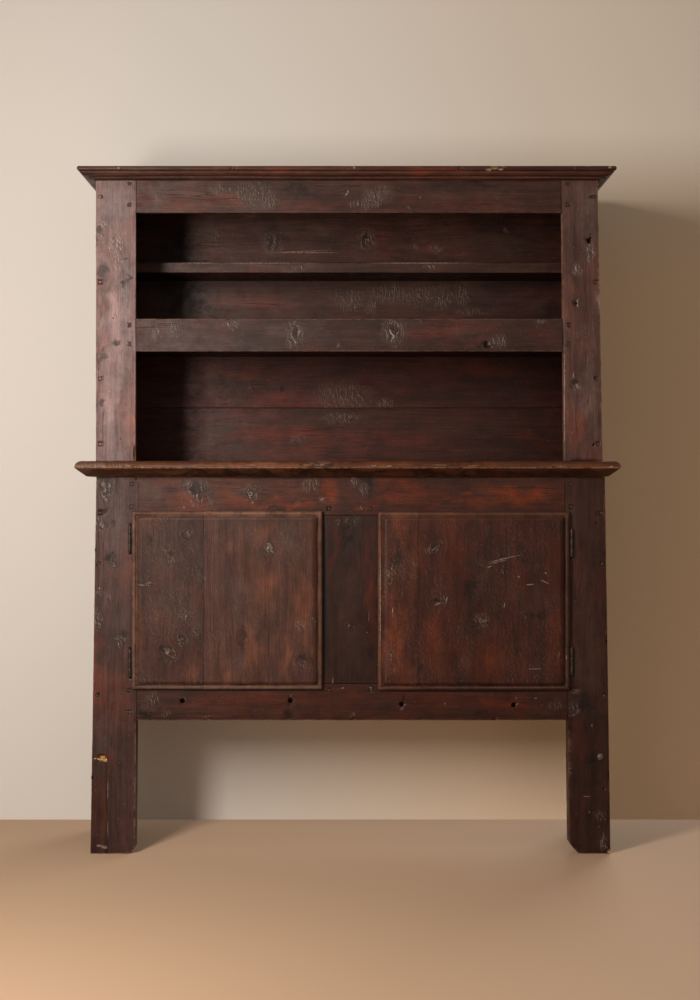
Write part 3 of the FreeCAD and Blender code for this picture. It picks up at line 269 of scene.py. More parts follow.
        crazes=[(-14, 1252, 82, 46.8), (-286, 1266, 5.8, 20.5), (112, 1234, 23.4, 17.5), (-350, 1240, 40, 8)],
        knots=[(-190, 1275, 8.8, 8.8)],
        ruddy=[(-286, 1328, 175.4, 23.4), (-140, 1246, 175.4, 29.2), (386, 1334, 116.9, 23.4)],
        greyed=[(-14, 1246, 87.7, 52.6)]),
    "rack_back_low": dict(
        tint=(1.44, 1.0, 0.88),
        crazes=[(-14, 1193, 64.3, 14.6), (-140, 1129, 29.2, 11.7)],
        ruddy=[(-140, 1141, 233.8, 29.2), (94, 1129, 175.4, 29.2), (532, 1129, 70.2, 29.2)],
        greyed=[(-344, 1158, 87.7, 23.4)]),
    "upper_shelf": dict(
        tint=(0.95, 0.82, 0.78),
        crazes=[(-134, 1610, 22.5, 5.6), (231, 1613, 16.9, 5.6)],
        scratches=[(-416, 1622, 56.3, 1.1), (-241, 1622, 112.6, 1.1), (203, 1622, 140.7, 1.1)],
        greyed=[(-134, 1610, 168.9, 11.3)],
        ruddy=[(-275, 1594, 168.9, 5.6)]),
    "counter_front_board": dict(
        tint=(1.25, 1.35, 1.5),
        # The long dark band along the underside of the nose is painted shade.
        bruises_and_shade=[(0, 1025, 800, 9)],
        knots=[(-47, 1042, 13.4, 8)],
        crazes=[(-690, 1043, 40, 8), (-610, 1046, 30, 7), (-569, 1046, 21.4, 5.3), (-85, 1050, 21.4, 4),
            (76, 1044, 26.7, 5.3), (568, 1047, 26.7, 5.3), (675, 1042, 21.4, 8)],
        scratches=[(-585, 1047, 8, 1.9, 10), (-553, 1043, 10.7, 1.6, -6), (-111, 1051, 10.7, 1.3), (-69, 1050, 8, 1.3),
            (76, 1048, 8, 2.1), (111, 1047, 8, 1.6), (704, 1044, 8, 3.2), (568, 1047, 8, 1.6), (501, 1042, 5.3, 1.3),
            (-261, 1050, 16, 1.1), (247, 1050, 21.4, 1.1)],
        ruddy=[(-261, 1044, 160.5, 8), (274, 1044, 187.2, 8)],
        greyed=[(-74, 1042, 26.7, 10.7), (-650, 1042, 90, 12), (-450, 1044, 60, 8)],
        worn_tears=[(-566, -222, 1046, 12, 5, 4), (-112, -221, 1050, 14, 5, 4), (84, -222, 1046, 10, 4, 4),
            (330, -221, 1048, 12, 4, 3), (-640, -221, 1049, 8, 4, 3), (560, -222, 1045, 9, 4, 3),
            (-10, -222, 1030, 10, 4, 3), (-400, -222, 1032, 8, 4, 3)]),
    "cornice_front": dict(
        tint=(1.04, 1.08, 1.12),
        crazes=[(394, 1843, 18.7, 6.7), (415, 1849, 8, 4)],
        scratches=[(378, 1840, 8, 3.2), (394, 1844, 9.4, 2.7), (410, 1841, 6.7, 2.1), (17, 1845, 3.2, 2.1),
            (418, 1849, 2.1, 3.2), (702, 1847, 5.3, 4.3)],
        ruddy=[(-261, 1844, 160.5, 10.7), (193, 1844, 160.5, 10.7)],
        greyed=[(-529, 1844, 107, 8)],
        worn_tears=[(392, -222, 1850, 16, 6, 5), (414, -221, 1851, 6, 6, 3), (14, -222, 1850, 6, 4, 3),
            (-300, -222, 1851, 9, 4, 3), (-560, -222, 1851, 7, 4, 2.5), (640, -222, 1851, 9, 5, 3)]),
}

# Tones: deep, body, warm, grey, worn, pale
board_tones = {kind: [colour(*tone) for tone in tones] for kind, tones in {
    "base": ((38, 22, 18), (66, 42, 34), (84, 40, 27), (62, 48, 43), (116, 80, 58), (130, 114, 104)),
    "top_rail": ((44, 25, 19), (76, 45, 35), (124, 58, 27), (70, 54, 48), (116, 80, 58), (150, 132, 122)),
    "rack": ((58, 37, 32), (85, 58, 50), (92, 52, 41), (84, 66, 60), (120, 88, 70), (180, 162, 152)),
    "frieze": ((48, 29, 24), (80, 52, 44), (94, 46, 35), (86, 68, 61), (114, 82, 64), (148, 134, 124)),
    "mid": ((46, 31, 27), (72, 50, 43), (88, 47, 37), (80, 65, 59), (116, 84, 66), (164, 150, 140)),
    "right_rack": ((46, 31, 27), (72, 50, 43), (88, 47, 37), (80, 65, 59), (116, 84, 66), (146, 128, 117)),
    "back": ((36, 19, 15), (58, 34, 27), (76, 38, 28), (60, 43, 36), (86, 60, 46), (126, 108, 98)),
    "left_door": ((50, 31, 25), (73, 48, 38), (104, 64, 42), (73, 56, 48), (131, 96, 76), (136, 120, 108)),
    "right_door": ((42, 21, 16), (70, 38, 28), (98, 52, 29), (64, 44, 37), (112, 78, 60), (150, 132, 118)),
    "counter": ((46, 24, 15), (88, 52, 34), (108, 60, 36), (92, 68, 54), (132, 92, 62), (132, 112, 96)),
    "cornice": ((42, 24, 18), (78, 46, 36), (92, 45, 32), (74, 56, 48), (120, 84, 60), (162, 136, 106)),
    "inner": ((62, 40, 26), (104, 72, 46), (116, 74, 44), (92, 72, 54), (130, 98, 66), (150, 130, 106)),
}.items()}
boards = (
    # slot, tones, grain, where its marked face lies, nodes
    ("base_pine", "base", "Z", frame_front,
     "base_left_stile base_right_stile left_foot_patch base_left_side base_right_side"),
    ("base_pine", "top_rail", "X", frame_front, "base_top_rail"),
    ("base_pine", "base", "X", frame_front, "base_bottom_rail"),
    ("base_pine", "base", "Z", frame_front, "base_centre_stile"),
    ("counter_pine", "counter", "X", moulding_front, "counter_front_board"),
    ("counter_pine", "counter", "X", frame_front, "counter_rear_board"),
    ("rack_pine", "rack", "Z", frame_front, "rack_left_stile"),
    ("rack_pine", "right_rack", "Z", frame_front, "rack_right_stile"),
    ("rack_pine", "rack", "Z", frame_front, "rack_left_side rack_right_side"),
    ("cornice_pine", "frieze", "X", frame_front, "frieze_rail"),
    ("rack_pine", "mid", "X", frame_front, "mid_rail mid_shelf"),
    ("rack_pine", "mid", "X", upper_shelf_front, "upper_shelf"),
    ("rack_back_pine", "back", "X", back_front, "rack_back_low rack_back_middle rack_back_upper rack_back_top"),
    ("cornice_pine", "cornice", "X", moulding_front, "cornice_front"),
    ("cornice_pine", "cornice", "Y", frame_front, "cornice_left_return cornice_right_return"),
    ("inner_pine", "inner", "X", frame_front,
     "roof_front_board roof_rear_board cupboard_floor_front cupboard_floor_rear cupboard_shelf"),
    ("inner_pine", "inner", "Y", frame_front, "shelf_cleats"),
    ("inner_pine", "inner", "X", frame_front, "base_back_low base_back_middle base_back_top"),
    ("left_door_pine", "left_door", "Z", door_front, "left_door_hinge_board left_door_meeting_board"),
    ("right_door_pine", "right_door", "Z", door_front, "right_door_hinge_board right_door_meeting_board"),
    ("inner_pine", "inner", "X", frame_front,
     "left_door_lower_ledge left_door_upper_ledge right_door_lower_ledge right_door_upper_ledge"),
)
# The outline of each door: left, right, bottom and top. For each side, how pale its bead is and how far in: worn,
# and where it reaches furthest in (the tops, and the left door's left side) painted light falling into the quirk.
door_rims = {
    "left_door": ((-0.582, -0.068, 0.445, 0.926), ((1.0, 0.019), (0.5, 0.015), (0.7, 0.015), (1.0, 0.019))),
    "right_door": ((0.081, 0.5985, 0.443, 0.924), ((1.0, 0.015), (0.5, 0.015), (0.4, 0.015), (1.3, 0.019))),
}


# Finishes

def add(kind, settings=None, inputs=None):
    """One node, in the finish in hand. A socket takes a number, a colour or another node's output."""
    made = tree.nodes.new("ShaderNode" + kind)
    for key, value in (settings or {}).items():
        setattr(made, key, value)
    for key, value in (inputs or {}).items():
        socket = made.inputs[key]
        if isinstance(value, bpy.types.NodeSocket):
            tree.links.new(value, socket)
        else:
            socket.default_value = value
    return made


def reckon(operation, first, second):
    return add("Math", {"operation": operation}, {0: first, 1: second}).outputs[0]


def times(first, second):
    return reckon("MULTIPLY", first, second)


def most(first, second):
    return reckon("MAXIMUM", first, second)


def vector(operation, first, second):
    """A sum on places. Only a scale takes a number as its second."""
    made = add("VectorMath", {"operation": operation}, {0: first, "Scale" if operation == "SCALE" else 1: second})
    return made.outputs["Value" if operation == "LENGTH" else 0]


def axes(place):
    """The X, Y and Z of a place."""
    return add("SeparateXYZ", None, {0: place}).outputs


def spread(value, low, high, to_low=0.0, to_high=1.0, kind="SMOOTHSTEP"):
    """The value's range from low to high, laid out between two others and held there."""
    return add("MapRange", {"interpolation_type": kind, "clamp": True}, {
        "Value": value, "From Min": low, "From Max": high, "To Min": to_low, "To Max": to_high}).outputs["Result"]


def blend_in(share, first, second, kind="MIX"):
    """The first colour with a share of the second, or multiplied by it."""
    return add("Mix", {"data_type": "RGBA", "blend_type": kind}, {0: share, 6: first, 7: second}).outputs[2]


def shaded(tone, value, low, high, at_low, at_high, share=1.0):
    """The tone, darker or lighter as a value goes from low to high."""
    return blend_in(share, tone, spread(value, low, high, at_low, at_high, "LINEAR"), "MULTIPLY")


def cloud(place, scale, detail, rough, twist=0.0):
    """Soft noise at so many lumps to the metre."""
    return add("TexNoise", None, {
        "Vector": place, "Scale": scale, "Detail": detail, "Roughness": rough, "Distortion": twist}).outputs["Fac"]


def figure(place, grain, across, along, detail, rough, scale=1.0, twist=0.0):
    """Noise drawn out along the grain."""
    stretch = [across, across, across]
    stretch["XYZ".index(grain)] = along
    drawn = add("Mapping", {"vector_type": "POINT"}, {"Vector": place, "Scale": stretch})
    return cloud(drawn.outputs[0], scale, detail, rough, twist)


def straying(place, scale, detail, rough, reach):
    """How far each place strays from where it is, to every side."""
    noise = add("TexNoise", None, {
        "Vector": place, "Scale": scale, "Detail": detail, "Roughness": rough}).outputs["Color"]
    return vector("SCALE", vector("SUBTRACT", noise, (0.5, 0.5, 0.5)), reach)


def kept(name):
    """A value that the mesh carries on its points."""
    return add("Attribute", {"attribute_name": name}).outputs["Fac"]


def from_mark(place, mark, face, size=1.0):
    """How far each place lies from the middle of a mark, where 1 is the mark's edge."""
    x, z, half_x, half_z = [v * millimetre for v in mark[:4]]
    turn = math.radians(mark[4]) if len(mark) > 4 else 0.0
    local = add("Mapping", {"vector_type": "TEXTURE"}, {
        "Vector": place, "Location": (x, face, z), "Rotation": (0, turn, 0),
        "Scale": (half_x * size, 1, half_z * size)})
    return vector("LENGTH", local.outputs[0], (0, 0, 0))


def patches(place, marks, face, soft):
    """1 inside the marks and 0 outside, with an edge as soft as asked."""
    nearest = None
    for mark in marks:
        reach = from_mark(place, mark, face)
        nearest = reach if nearest is None else reckon("MINIMUM", nearest, reach)
    return spread(nearest, 1.0 + soft * 0.5, max(1.0 - soft, 0.0))


def round_the_knots(place, knots, face):
    """Grain that parts round each knot: near one, places draw in towards its heart."""
    for mark in knots:
        heart = (mark[0] * millimetre, face, mark[1] * millimetre)
        pull = spread(from_mark(place, mark, face, 3.4), 1.0, 0.0, 0.0, 0.8)
        place = vector("ADD", place, vector("SCALE", vector("SUBTRACT", heart, place), pull))
    return place


def new_finish(name):
    """Takes a new finish in hand. Gives it, and the place of each point."""
    global tree
    finish = bpy.data.materials.new(name)
    finish.use_nodes = True
    tree = finish.node_tree
    return finish, add("TexCoord").outputs["Object"]


def surfaced(tone, rough, height, strength, distance, **fixed):
    """Gives the surface its colour, roughness and relief, and the numbers that are the same all over."""
    surface = tree.nodes["Principled BSDF"]
    bump = add("Bump", None, {"Strength": strength, "Distance": distance, "Height": height})
    tree.links.new(tone, surface.inputs["Base Color"])
    tree.links.new(rough, surface.inputs["Roughness"])
    tree.links.new(bump.outputs["Normal"], surface.inputs["Normal"])
    for key, value in fixed.items():
        surface.inputs[key.replace("_", " ")].default_value = value


def old_pine(name, tones, grain, shift, pith, marks, face, own_shade=1.0, rim=0.0, bare_back=False, under=0.0,
             ringed=1.0, bleached=0.0, corner=0.0, seams=0.75):
    """Pine, stained dark and waxed for generations. tones are deep, body, warm, grey, worn and pale.
    rim: wear on the bead of a door, with painted light on its lit sides. under: painted shade on faces that look down.
    ringed: how plain the year rings are. bleached: painted shade, darker to the right and near the floor.
    corner: painted shade in the right-hand end of a recess. seams: grime along the joints."""
    warmth, dust, rough = 0.35, 0.4, 0.42
    deep, body, warm, grey, worn, pale = tones
    black = tuple(c * 0.22 for c in deep[:3]) + (1.0,)
    finish, place = new_finish(name)

    # Edges of marks wander, and the grain wavers and parts round the knots.
    stir = straying(place, 48.0, 4.0, 0.5, 0.034)
    ragged = vector("ADD", place, stir)
    bent = vector("ADD", place, vector("SCALE", stir, 0.1))
    adrift = vector("ADD", place, straying(place, 12.0, 5.0, 0.6, 0.13))
    parted = round_the_knots(place, marks.get("knots", ()), face)
    own = vector("ADD", parted, shift)
    sway = add("TexNoise", None, {"Vector": own, "Scale": 2.6, "Detail": 2.0}).outputs["Color"]
    sway = vector("SCALE", sway, 0.03)
    own = vector("ADD", own, sway)

    fibre = figure(own, grain, 420, 9, 5, 0.7)
    streak = figure(own, grain, 70, 2.4, 6, 0.66)
    band = figure(own, grain, 16, 3.2, 5, 0.62)
    blotch = figure(own, grain, 9, 5.5, 6, 0.64)
    haze = figure(own, grain, 12, 7, 6, 0.66, 1.3)
    mottle = figure(own, grain, 17, 11, 7, 0.68)
    soot = figure(own, grain, 46, 16, 8, 0.7)
    crackle = figure(place, grain, 120, 150, 4, 0.65, 1.0, 0.5)
    grime = cloud(own, 34.0, 9, 0.72)
    rings = add("Mapping", {"vector_type": "TEXTURE"}, {
        "Vector": vector("ADD", parted, sway), "Location": pith, "Rotation": (0.02, 0.03, 0.01)}).outputs[0]
    rings = add("TexWave", {"wave_type": "RINGS", "rings_direction": grain, "wave_profile": "SAW"}, {
        "Vector": rings, "Scale": 64.0, "Distortion": 2.6, "Detail": 3.0, "Detail Scale": 0.6,
        "Detail Roughness": 0.6}).outputs["Fac"]
    check = reckon("SUBTRACT", figure(own, grain, 95, 1.1, 2, 0.5), 0.5)
    check = spread(reckon("ABSOLUTE", check, 0), 0.012, 0.0)
    check = times(check, spread(band, 0.52, 0.62))

    # Stained wood: warm where it is rubbed, grey where the varnish has dulled
    tone = blend_in(spread(streak, 0.34, 0.66, 0.2, 0.86), deep, body)
    share = spread(blotch, 0.5, 0.7, 0, warmth)
    if "ruddy" in marks:
        ruddy = patches(adrift, marks["ruddy"], face, 0.9)
        share = most(share, times(ruddy, spread(band, 0.34, 0.62, 0.3, 0.72)))
    tone = blend_in(share, tone, warm)
    share = spread(haze, 0.5, 0.72, 0, 0.35)
    if "greyed" in marks:
        greyed = patches(adrift, marks["greyed"], face, 0.9)
        share = most(share, times(greyed, spread(haze, 0.3, 0.6, 0.2, 0.8)))
    tone = blend_in(share, tone, grey)
    tone = shaded(tone, fibre, 0.3, 0.7, 0.66, 1.34)
    if "faded" in marks:
        lighter = tuple(a * b for a, b in zip(body[:3], (1.6, 1.72, 1.78))) + (1.0,)
        faded = patches(adrift, marks["faded"], face, 0.7)
        tone = blend_in(times(faded, spread(streak, 0.3, 0.6, 0.4, 0.85)), tone, lighter)
    tone = shaded(tone, rings, 0.0, 1.0, 1.12, 0.8, ringed)
    tone = shaded(tone, mottle, 0.32, 0.68, 0.68, 1.32)
    tone = shaded(tone, band, 0.3, 0.7, 0.8, 1.2)
    where = axes(place)
    # Painted shade: darker near the floor and towards the right, as the window light on the left falls off.
    if bleached:
        painted_shade_low = spread(where["Z"], 0.52, 0.3)
        tone = blend_in(painted_shade_low, tone, (0.78, 0.78, 0.8, 1.0), "MULTIPLY")
        painted_shade_right = spread(where["X"], -0.45, 0.35, 0, bleached)
        tone = blend_in(painted_shade_right, tone, (0.8, 0.7, 0.62, 1.0), "MULTIPLY")
    # Painted shade: darker towards the right-hand end of the rack's back.
    if corner:
        painted_shade_right_end = spread(where["X"], 0.25, 0.5, 0, corner)
        tone = blend_in(painted_shade_right_end, tone, (0.3, 0.24, 0.22, 1.0), "MULTIPLY")

    # Dirt in the pores, joints, hollows, knots and holes, with painted shade under the counter's nose and painted
    # shadows of the doors on the frame
    joint, hollow = kept("joint"), kept("hollow")
    dirt_and_painted_shade = spread(soot, 0.5, 0.74, 0, 0.42)
    dirt_and_painted_shade = most(dirt_and_painted_shade, spread(joint, 0.62, 1.0, 0, seams))
    dirt_and_painted_shade = most(dirt_and_painted_shade, spread(hollow, 0.3, 0.8, 0, 0.85))
    if "bruises_and_shade" in marks:
        bruise_and_shade = patches(adrift, marks["bruises_and_shade"], face, 0.8)
        dirt_and_painted_shade = most(dirt_and_painted_shade, times(bruise_and_shade, spread(grime, 0.35, 0.6, 0.3, 0.9)))
    dirt_and_painted_shade = most(dirt_and_painted_shade, times(check, 0.85))
    knots = None
    for kind, strays, soft, depth in (
            ("knots", ragged, 0.35, 0.75), ("holes", place, 0.2, 1.0), ("cracks_and_shadows", place, 0.4, 0.9)):
        if kind in marks:
            mask = patches(strays, marks[kind], face, soft)
            knots = mask if kind == "knots" else knots
            dirt_and_painted_shade = most(dirt_and_painted_shade, times(mask, depth))
    tone = blend_in(dirt_and_painted_shade, tone, black)

    # Old varnish is wrinkled over the knots: painted highlight on one flank of each wrinkle, painted shade in its lee.
    # light: pale dust specks, then the wrinkles' painted highlights and the scratches' pale wear.
    light = times(spread(cloud(place, 240.0, 2, 0.5), 0.70, 0.78), dust)
    relief = None
    if "crazes" in marks:
        craze = patches(ragged, marks["crazes"], face, 0.75)
        if "wrinkled" in marks:
            craze = most(craze, spread(haze, 0.36, 0.62, 0, marks["wrinkled"]))
        crumple = (160, 60, 110) if grain == "Z" else (190, 60, 56)
        folds = []
        for shove in ((0, 0, 0), (0.24, 0, 0.07)):
            fold = vector("ADD", parted, vector("SCALE", stir, 0.45))
            fold = add("Mapping", {"vector_type": "POINT"}, {
                "Vector": fold, "Location": shove, "Scale": crumple}).outputs[0]
            folds.append(cloud(fold, 1.0, 4, 0.64))
        emboss = reckon("SUBTRACT", folds[0], folds[1])
        relief = times(craze, folds[0])
        tone = blend_in(times(craze, 0.3), tone, grey)
        # Painted shade in the lee of each wrinkle; its sheen below is a painted highlight.
        tone = blend_in(times(craze, spread(emboss, -0.015, -0.09, 0, 0.75)), tone, black)
        sheen = times(spread(emboss, 0.02, 0.12), spread(crackle, 0.36, 0.6, 0.3, 0.95))
        light = most(light, times(craze, sheen))
    if "scratches" in marks:
        line = patches(bent, marks["scratches"], face, 0.5)
        light = most(light, times(line, spread(crackle, 0.34, 0.58, 0.1, 0.75)))
    tone = blend_in(light, tone, pale)

    # Rubbed arrises, the bead of a door (worn, and painted light on its lit sides), wood torn bare, and painted shade
    # below
    rub = times(spread(kept("arris"), 0.45, 1.0), spread(cloud(place, 46.0, 5, 0.65), 0.36, 0.6))
    tone = blend_in(times(rub, 0.6), tone, worn)
    if rim:
        share = spread(figure(place, grain, 30, 30, 6, 0.7), 0.34, 0.6, 0.15, rim)
        tone = blend_in(times(kept("rim"), share), tone, worn)
    if "raw" in marks:
        raw = patches(ragged, marks["raw"], face, 0.25)
        tone = blend_in(times(raw, spread(crackle, 0.42, 0.55)), tone, colour(196, 158, 92))
    facing = axes(add("TexCoord").outputs["Normal"])
    # Painted shade on faces that look down, under the counter's nose.
    if under:
        tone = blend_in(spread(facing["Z"], -0.15, -0.5, 0, under), tone, black)

    # The side that was never stained, towards the wall or inside a door
    if bare_back:
        bare = blend_in(spread(streak, 0.34, 0.66), colour(84, 60, 42), colour(124, 93, 66))
        bare = shaded(bare, fibre, 0.3, 0.7, 0.7, 1.25)
        bare = shaded(bare, rings, 0.0, 1.0, 1.1, 0.72)
        bare = blend_in(spread(soot, 0.5, 0.74, 0, 0.42), bare, colour(46, 32, 24))
        bare = blend_in(1.0, bare, (own_shade, own_shade * 0.97, own_shade * 0.93, 1.0), "MULTIPLY")
        bare = blend_in(spread(joint, 0.45, 1.0, 0, 0.85), bare, colour(22, 15, 11))
        if knots:
            bare = blend_in(times(knots, 0.8), bare, colour(58, 34, 20))
        tone = blend_in(spread(facing["Y"], 0.35, 0.65), tone, bare)

    gloss = reckon("ADD", spread(grime, 0.3, 0.7, rough - 0.08, rough + 0.14), times(light, 0.2))
    height = times(fibre, 0.35)
    for part, share in ((streak, 0.5), (grime, 0.25), (light, 0.5), (dirt_and_painted_shade, -0.4), (relief, 1.2)):
        if part:
            height = reckon("ADD", height, times(part, share))
    surfaced(tone, gloss, height, 0.55, 0.0016, Specular_IOR_Level=0.16)
    return finish


def dark_iron(name, low_tone, high_tone, rubbed_tone, metal, rough, stain_and_sheen=None):
    """Forged iron: nearly black scale, rust in the hollows and rubbed bright on the high places."""
    finish, place = new_finish(name)
    scale = cloud(place, 260.0, 6, 0.7)
    tone = blend_in(spread(scale, 0.35, 0.65), low_tone, high_tone)
    rust = spread(cloud(place, 90.0, 5, 0.65), 0.52, 0.68, 0, 0.75)
    tone = blend_in(rust, tone, colour(84, 48, 28))
    tone = blend_in(times(kept("arris"), spread(scale, 0.4, 0.6)), tone, rubbed_tone)
    # Nails high on the left rack stile take a pale tone: stain over their heads, and painted light matching the
    # stile's sheen.
    if stain_and_sheen:
        where = axes(place)
        faded = times(spread(where["X"], -0.55, -0.6), spread(where["Z"], 1.03, 1.09))
        tone = blend_in(times(faded, 0.8), tone, stain_and_sheen)
    surfaced(tone, spread(scale, 0.3, 0.7, rough, rough + 0.26), scale, 0.6, 0.0006, Metallic=metal)
    return finish


def torn(name, light, dark):
    """Wood laid bare inside a chip or a hole."""
    finish, place = new_finish(name)
    splinter = figure(place, "Z", 600, 60, 6, 0.7)
    tone = blend_in(spread(splinter, 0.38, 0.6), dark, light)
    surfaced(tone, spread(splinter, 0.3, 0.7, 0.6, 0.9), splinter, 0.8, 0.001, Specular_IOR_Level=0.15)
    return finish


iron = dark_iron("forged_iron", colour(34, 29, 27), colour(62, 55, 51), colour(128, 120, 112), 0.7, 0.42)
stained_iron = dark_iron("iron_under_stain", colour(42, 27, 22), colour(66, 45, 38), colour(84, 62, 52), 0.1, 0.6,
                         colour(124, 99, 91))
rubbed_iron = dark_iron("iron_rubbed_grey", colour(52, 44, 40), colour(96, 86, 79), colour(138, 130, 124), 0.3, 0.4)
tears = {
    "pale_tears": torn("pale_torn_pine", colour(206, 168, 104), colour(128, 84, 46)),
    "dark_tears": torn("dark_torn_pine", colour(52, 32, 22), colour(18, 10, 8)),
    "worn_tears": torn("worn_torn_pine", colour(128, 92, 62), colour(70, 44, 30)),
}


# Boards

def nothing_selected():
    if bpy.context.object and bpy.context.object.mode != "OBJECT":
        bpy.ops.object.mode_set(mode="OBJECT")
    bpy.ops.object.select_all(action="DESELECT")


def pick(piece):
    nothing_selected()
    piece.select_set(True)
    bpy.context.view_layer.objects.active = piece


def simple(shape, **settings):
    """A simple shape with its place and size in its mesh."""
    nothing_selected()
    shape(**settings)
    bpy.ops.object.transform_apply(location=True, rotation=True, scale=True)
    return bpy.context.object


def use(piece, kind, **settings):
    """Adds a modifier and applies it."""
    pick(piece)
    made = piece.modifiers.new(kind.lower(), kind)
    for key, value in settings.items():
        setattr(made, key, value)
    bpy.ops.object.modifier_apply(modifier=made.name)


def wearing(name, size):
    texture = bpy.data.textures.new(name, "CLOUDS")
    texture.noise_scale = size
    texture.noise_depth = 3
    return texture


slow_swell = wearing("slow_swell", 0.11)
rubbed = wearing("rubbed", 0.021)
hammered = wearing("hammered", 0.005)
ragged_chip = wearing("ragged_chip", 0.006)


def tree_of(points):
    found = KDTree(len(points))
    for number, point in enumerate(points):
        found.insert(point, number)
    found.balance()
    return found


def keep_values(piece, name, values, domain="POINT"):
    """Writes a value on each point or edge, for the finish or for a modifier."""
    piece.data.attributes.new(name, "FLOAT", domain).data.foreach_set("value", values)


def mark_edges(piece, kinds):
    """How near each point lies to each kind of edge, as attributes for the finish and a group for the wear."""
    for name, (points, reach) in kinds.items():
        nearness = [0.0] * len(piece.data.vertices)
        if points:
            found = tree_of(points)
            nearness = [max(0.0, 1.0 - found.find(vertex.co)[2] / reach) for vertex in piece.data.vertices]
        keep_values(piece, name, nearness)
        if name == "arris":
            group = piece.vertex_groups.new(name="rubbed_edge")
            for number, near in enumerate(nearness):
                group.add([number], near, "REPLACE")


def mark_rim(piece, sides, wear):
    """The bead that runs round a door, as an attribute for its paler wear and, on its lit sides, painted light. sides
    are left, right, bottom and top, and wear gives for each how pale it is and how far in it reaches."""
    left, right, bottom, top = sides
    fall = 0.008
    shown = []
    for vertex in piece.data.vertices:
        x, _, z = vertex.co
        depths = (x - left, right - x, z - bottom, top - z)
        shown.append(max(share * min(max((reach - depth) / fall, 0.0), 1.0)
                         for depth, (share, reach) in zip(depths, wear)))
    keep_values(piece, "rim", shown)


def neighbours(node):
    """The surfaces of every other part of the frame, as one tree."""
    points, faces = [], []
    for other, part in frame["nodes"].items():
        if other != node and not any(word in other for word in ("nails", "pegs", "leaf", "pins")):
            start = len(points)
            points += [vertex.co.copy() for vertex in part.data.vertices]
            faces += [[start + corner for corner in face.vertices] for face in part.data.polygons]
    return BVHTree.FromPolygons(points, faces)


def sort_edges(piece, node, angle, step):
    """Points along the sharp edges, sorted into open arrises, joints with a neighbour and hollows.
    The rims of nail and peg holes are left out and stay crisp, the other sharp edges are marked for the bevel."""
    shape = bmesh.new()
    shape.from_mesh(piece.data)
    others = neighbours(node)
    arrises, joints, hollows = [], [], []
    softens = [0.0] * len(shape.edges)
    for edge in shape.edges:
        if len(edge.link_faces) != 2:
            continue
        turn = edge.calc_face_angle_signed(0)
        a, b = (v.co for v in edge.verts)
        if abs(turn) < angle:
            continue
        short = (b - a).length < hole_edge
        filled = short and others.find_nearest((a + b) / 2, touching)[0] is not None
        softens[edge.index] = 0.0 if filled else 1.0
        if filled or (turn > 0 and short):
            continue
        count = max(1, int((b - a).length / step))
        for n in range(count + 1):
            point = a.lerp(b, n / count)
            if others.find_nearest(point, touching)[0] is not None:
                joints.append(point)
            elif turn > 0:
                arrises.append(point)
            else:
                hollows.append(point)
    shape.free()
    keep_values(piece, "bevel_weight_edge", softens, "EDGE")
    if hollows:
        found = tree_of(hollows)
        arrises = [point for point in arrises if found.find(point)[2] > hole_edge]
    return arrises, joints, hollows


def copied(name, node, finish):
    """A copy of a node's mesh, merged into one skin with its flat faces whole."""
    piece = bpy.data.objects.new(name, frame["nodes"][node].data.copy())
    scene.collection.objects.link(piece)
    piece.data.name = name
    piece.data.materials.clear()
    piece.data.materials.append(finish)
    pick(piece)
    bpy.ops.object.mode_set(mode="EDIT")
    bpy.ops.mesh.select_all(action="SELECT")
    bpy.ops.mesh.remove_doubles(threshold=same_point)
    bpy.ops.mesh.dissolve_limited(angle_limit=same_plane)
    bpy.ops.object.mode_set(mode="OBJECT")
    return piece


def standing_for(piece, node, body):
    """Shows the finished piece in the place of its node."""
    pick(piece)
    bpy.ops.object.shade_smooth_by_angle(angle=crease)
    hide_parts(node)
    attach(piece, body)


def cut_rows(piece, node, grain, sliver):
    """Cuts across a board: close together along the grain, wider across it, and near its edges, so that wear has
    points to move."""
    low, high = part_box(node)
    pick(piece)
    bpy.ops.object.mode_set(mode="EDIT")
    for axis in range(3):
        step = row_along if axis == "XYZ".index(grain) else row_across
        length = high[axis] - low[axis]
        count = int(length / step)
        rows = [length * number / (count + 1) for number in range(1, count + 1)]
        if length > row_across:
            rows += list(edge_rows) + [length - near for near in reversed(edge_rows)]
        normal = [0.0, 0.0, 0.0]
        normal[axis] = 1.0
        for row in rows:
            at = list(low)
            at[axis] = low[axis] + row
            bpy.ops.mesh.select_all(action="SELECT")
            bpy.ops.mesh.bisect(plane_co=at, plane_no=normal, use_fill=False)
    # Slivers beside the cuts would fold over as the wear goes in.
    bpy.ops.mesh.select_all(action="SELECT")
    bpy.ops.mesh.remove_doubles(threshold=sliver)
    bpy.ops.object.mode_set(mode="OBJECT")


def held_in(piece, node):
    """Presses back whatever stands out of the sawn board's own box."""
    least = 0.00001
    for end, limit in zip((-1, 1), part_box(node)):
        for axis in range(3):
            out = [end * (v.co[axis] - limit[axis]) > least for v in piece.data.vertices]
            if not any(out):
                continue
            pick(piece)
            piece.data.polygons.foreach_set("select", [False] * len(piece.data.polygons))
            piece.data.edges.foreach_set("select", [False] * len(piece.data.edges))
            piece.data.vertices.foreach_set("select", out)
            bpy.ops.object.mode_set(mode="EDIT")
            flat = [1.0, 1.0, 1.0]
            flat[axis] = 0.0
            bpy.ops.transform.resize(value=flat, center_override=tuple(limit))
            bpy.ops.object.mode_set(mode="OBJECT")


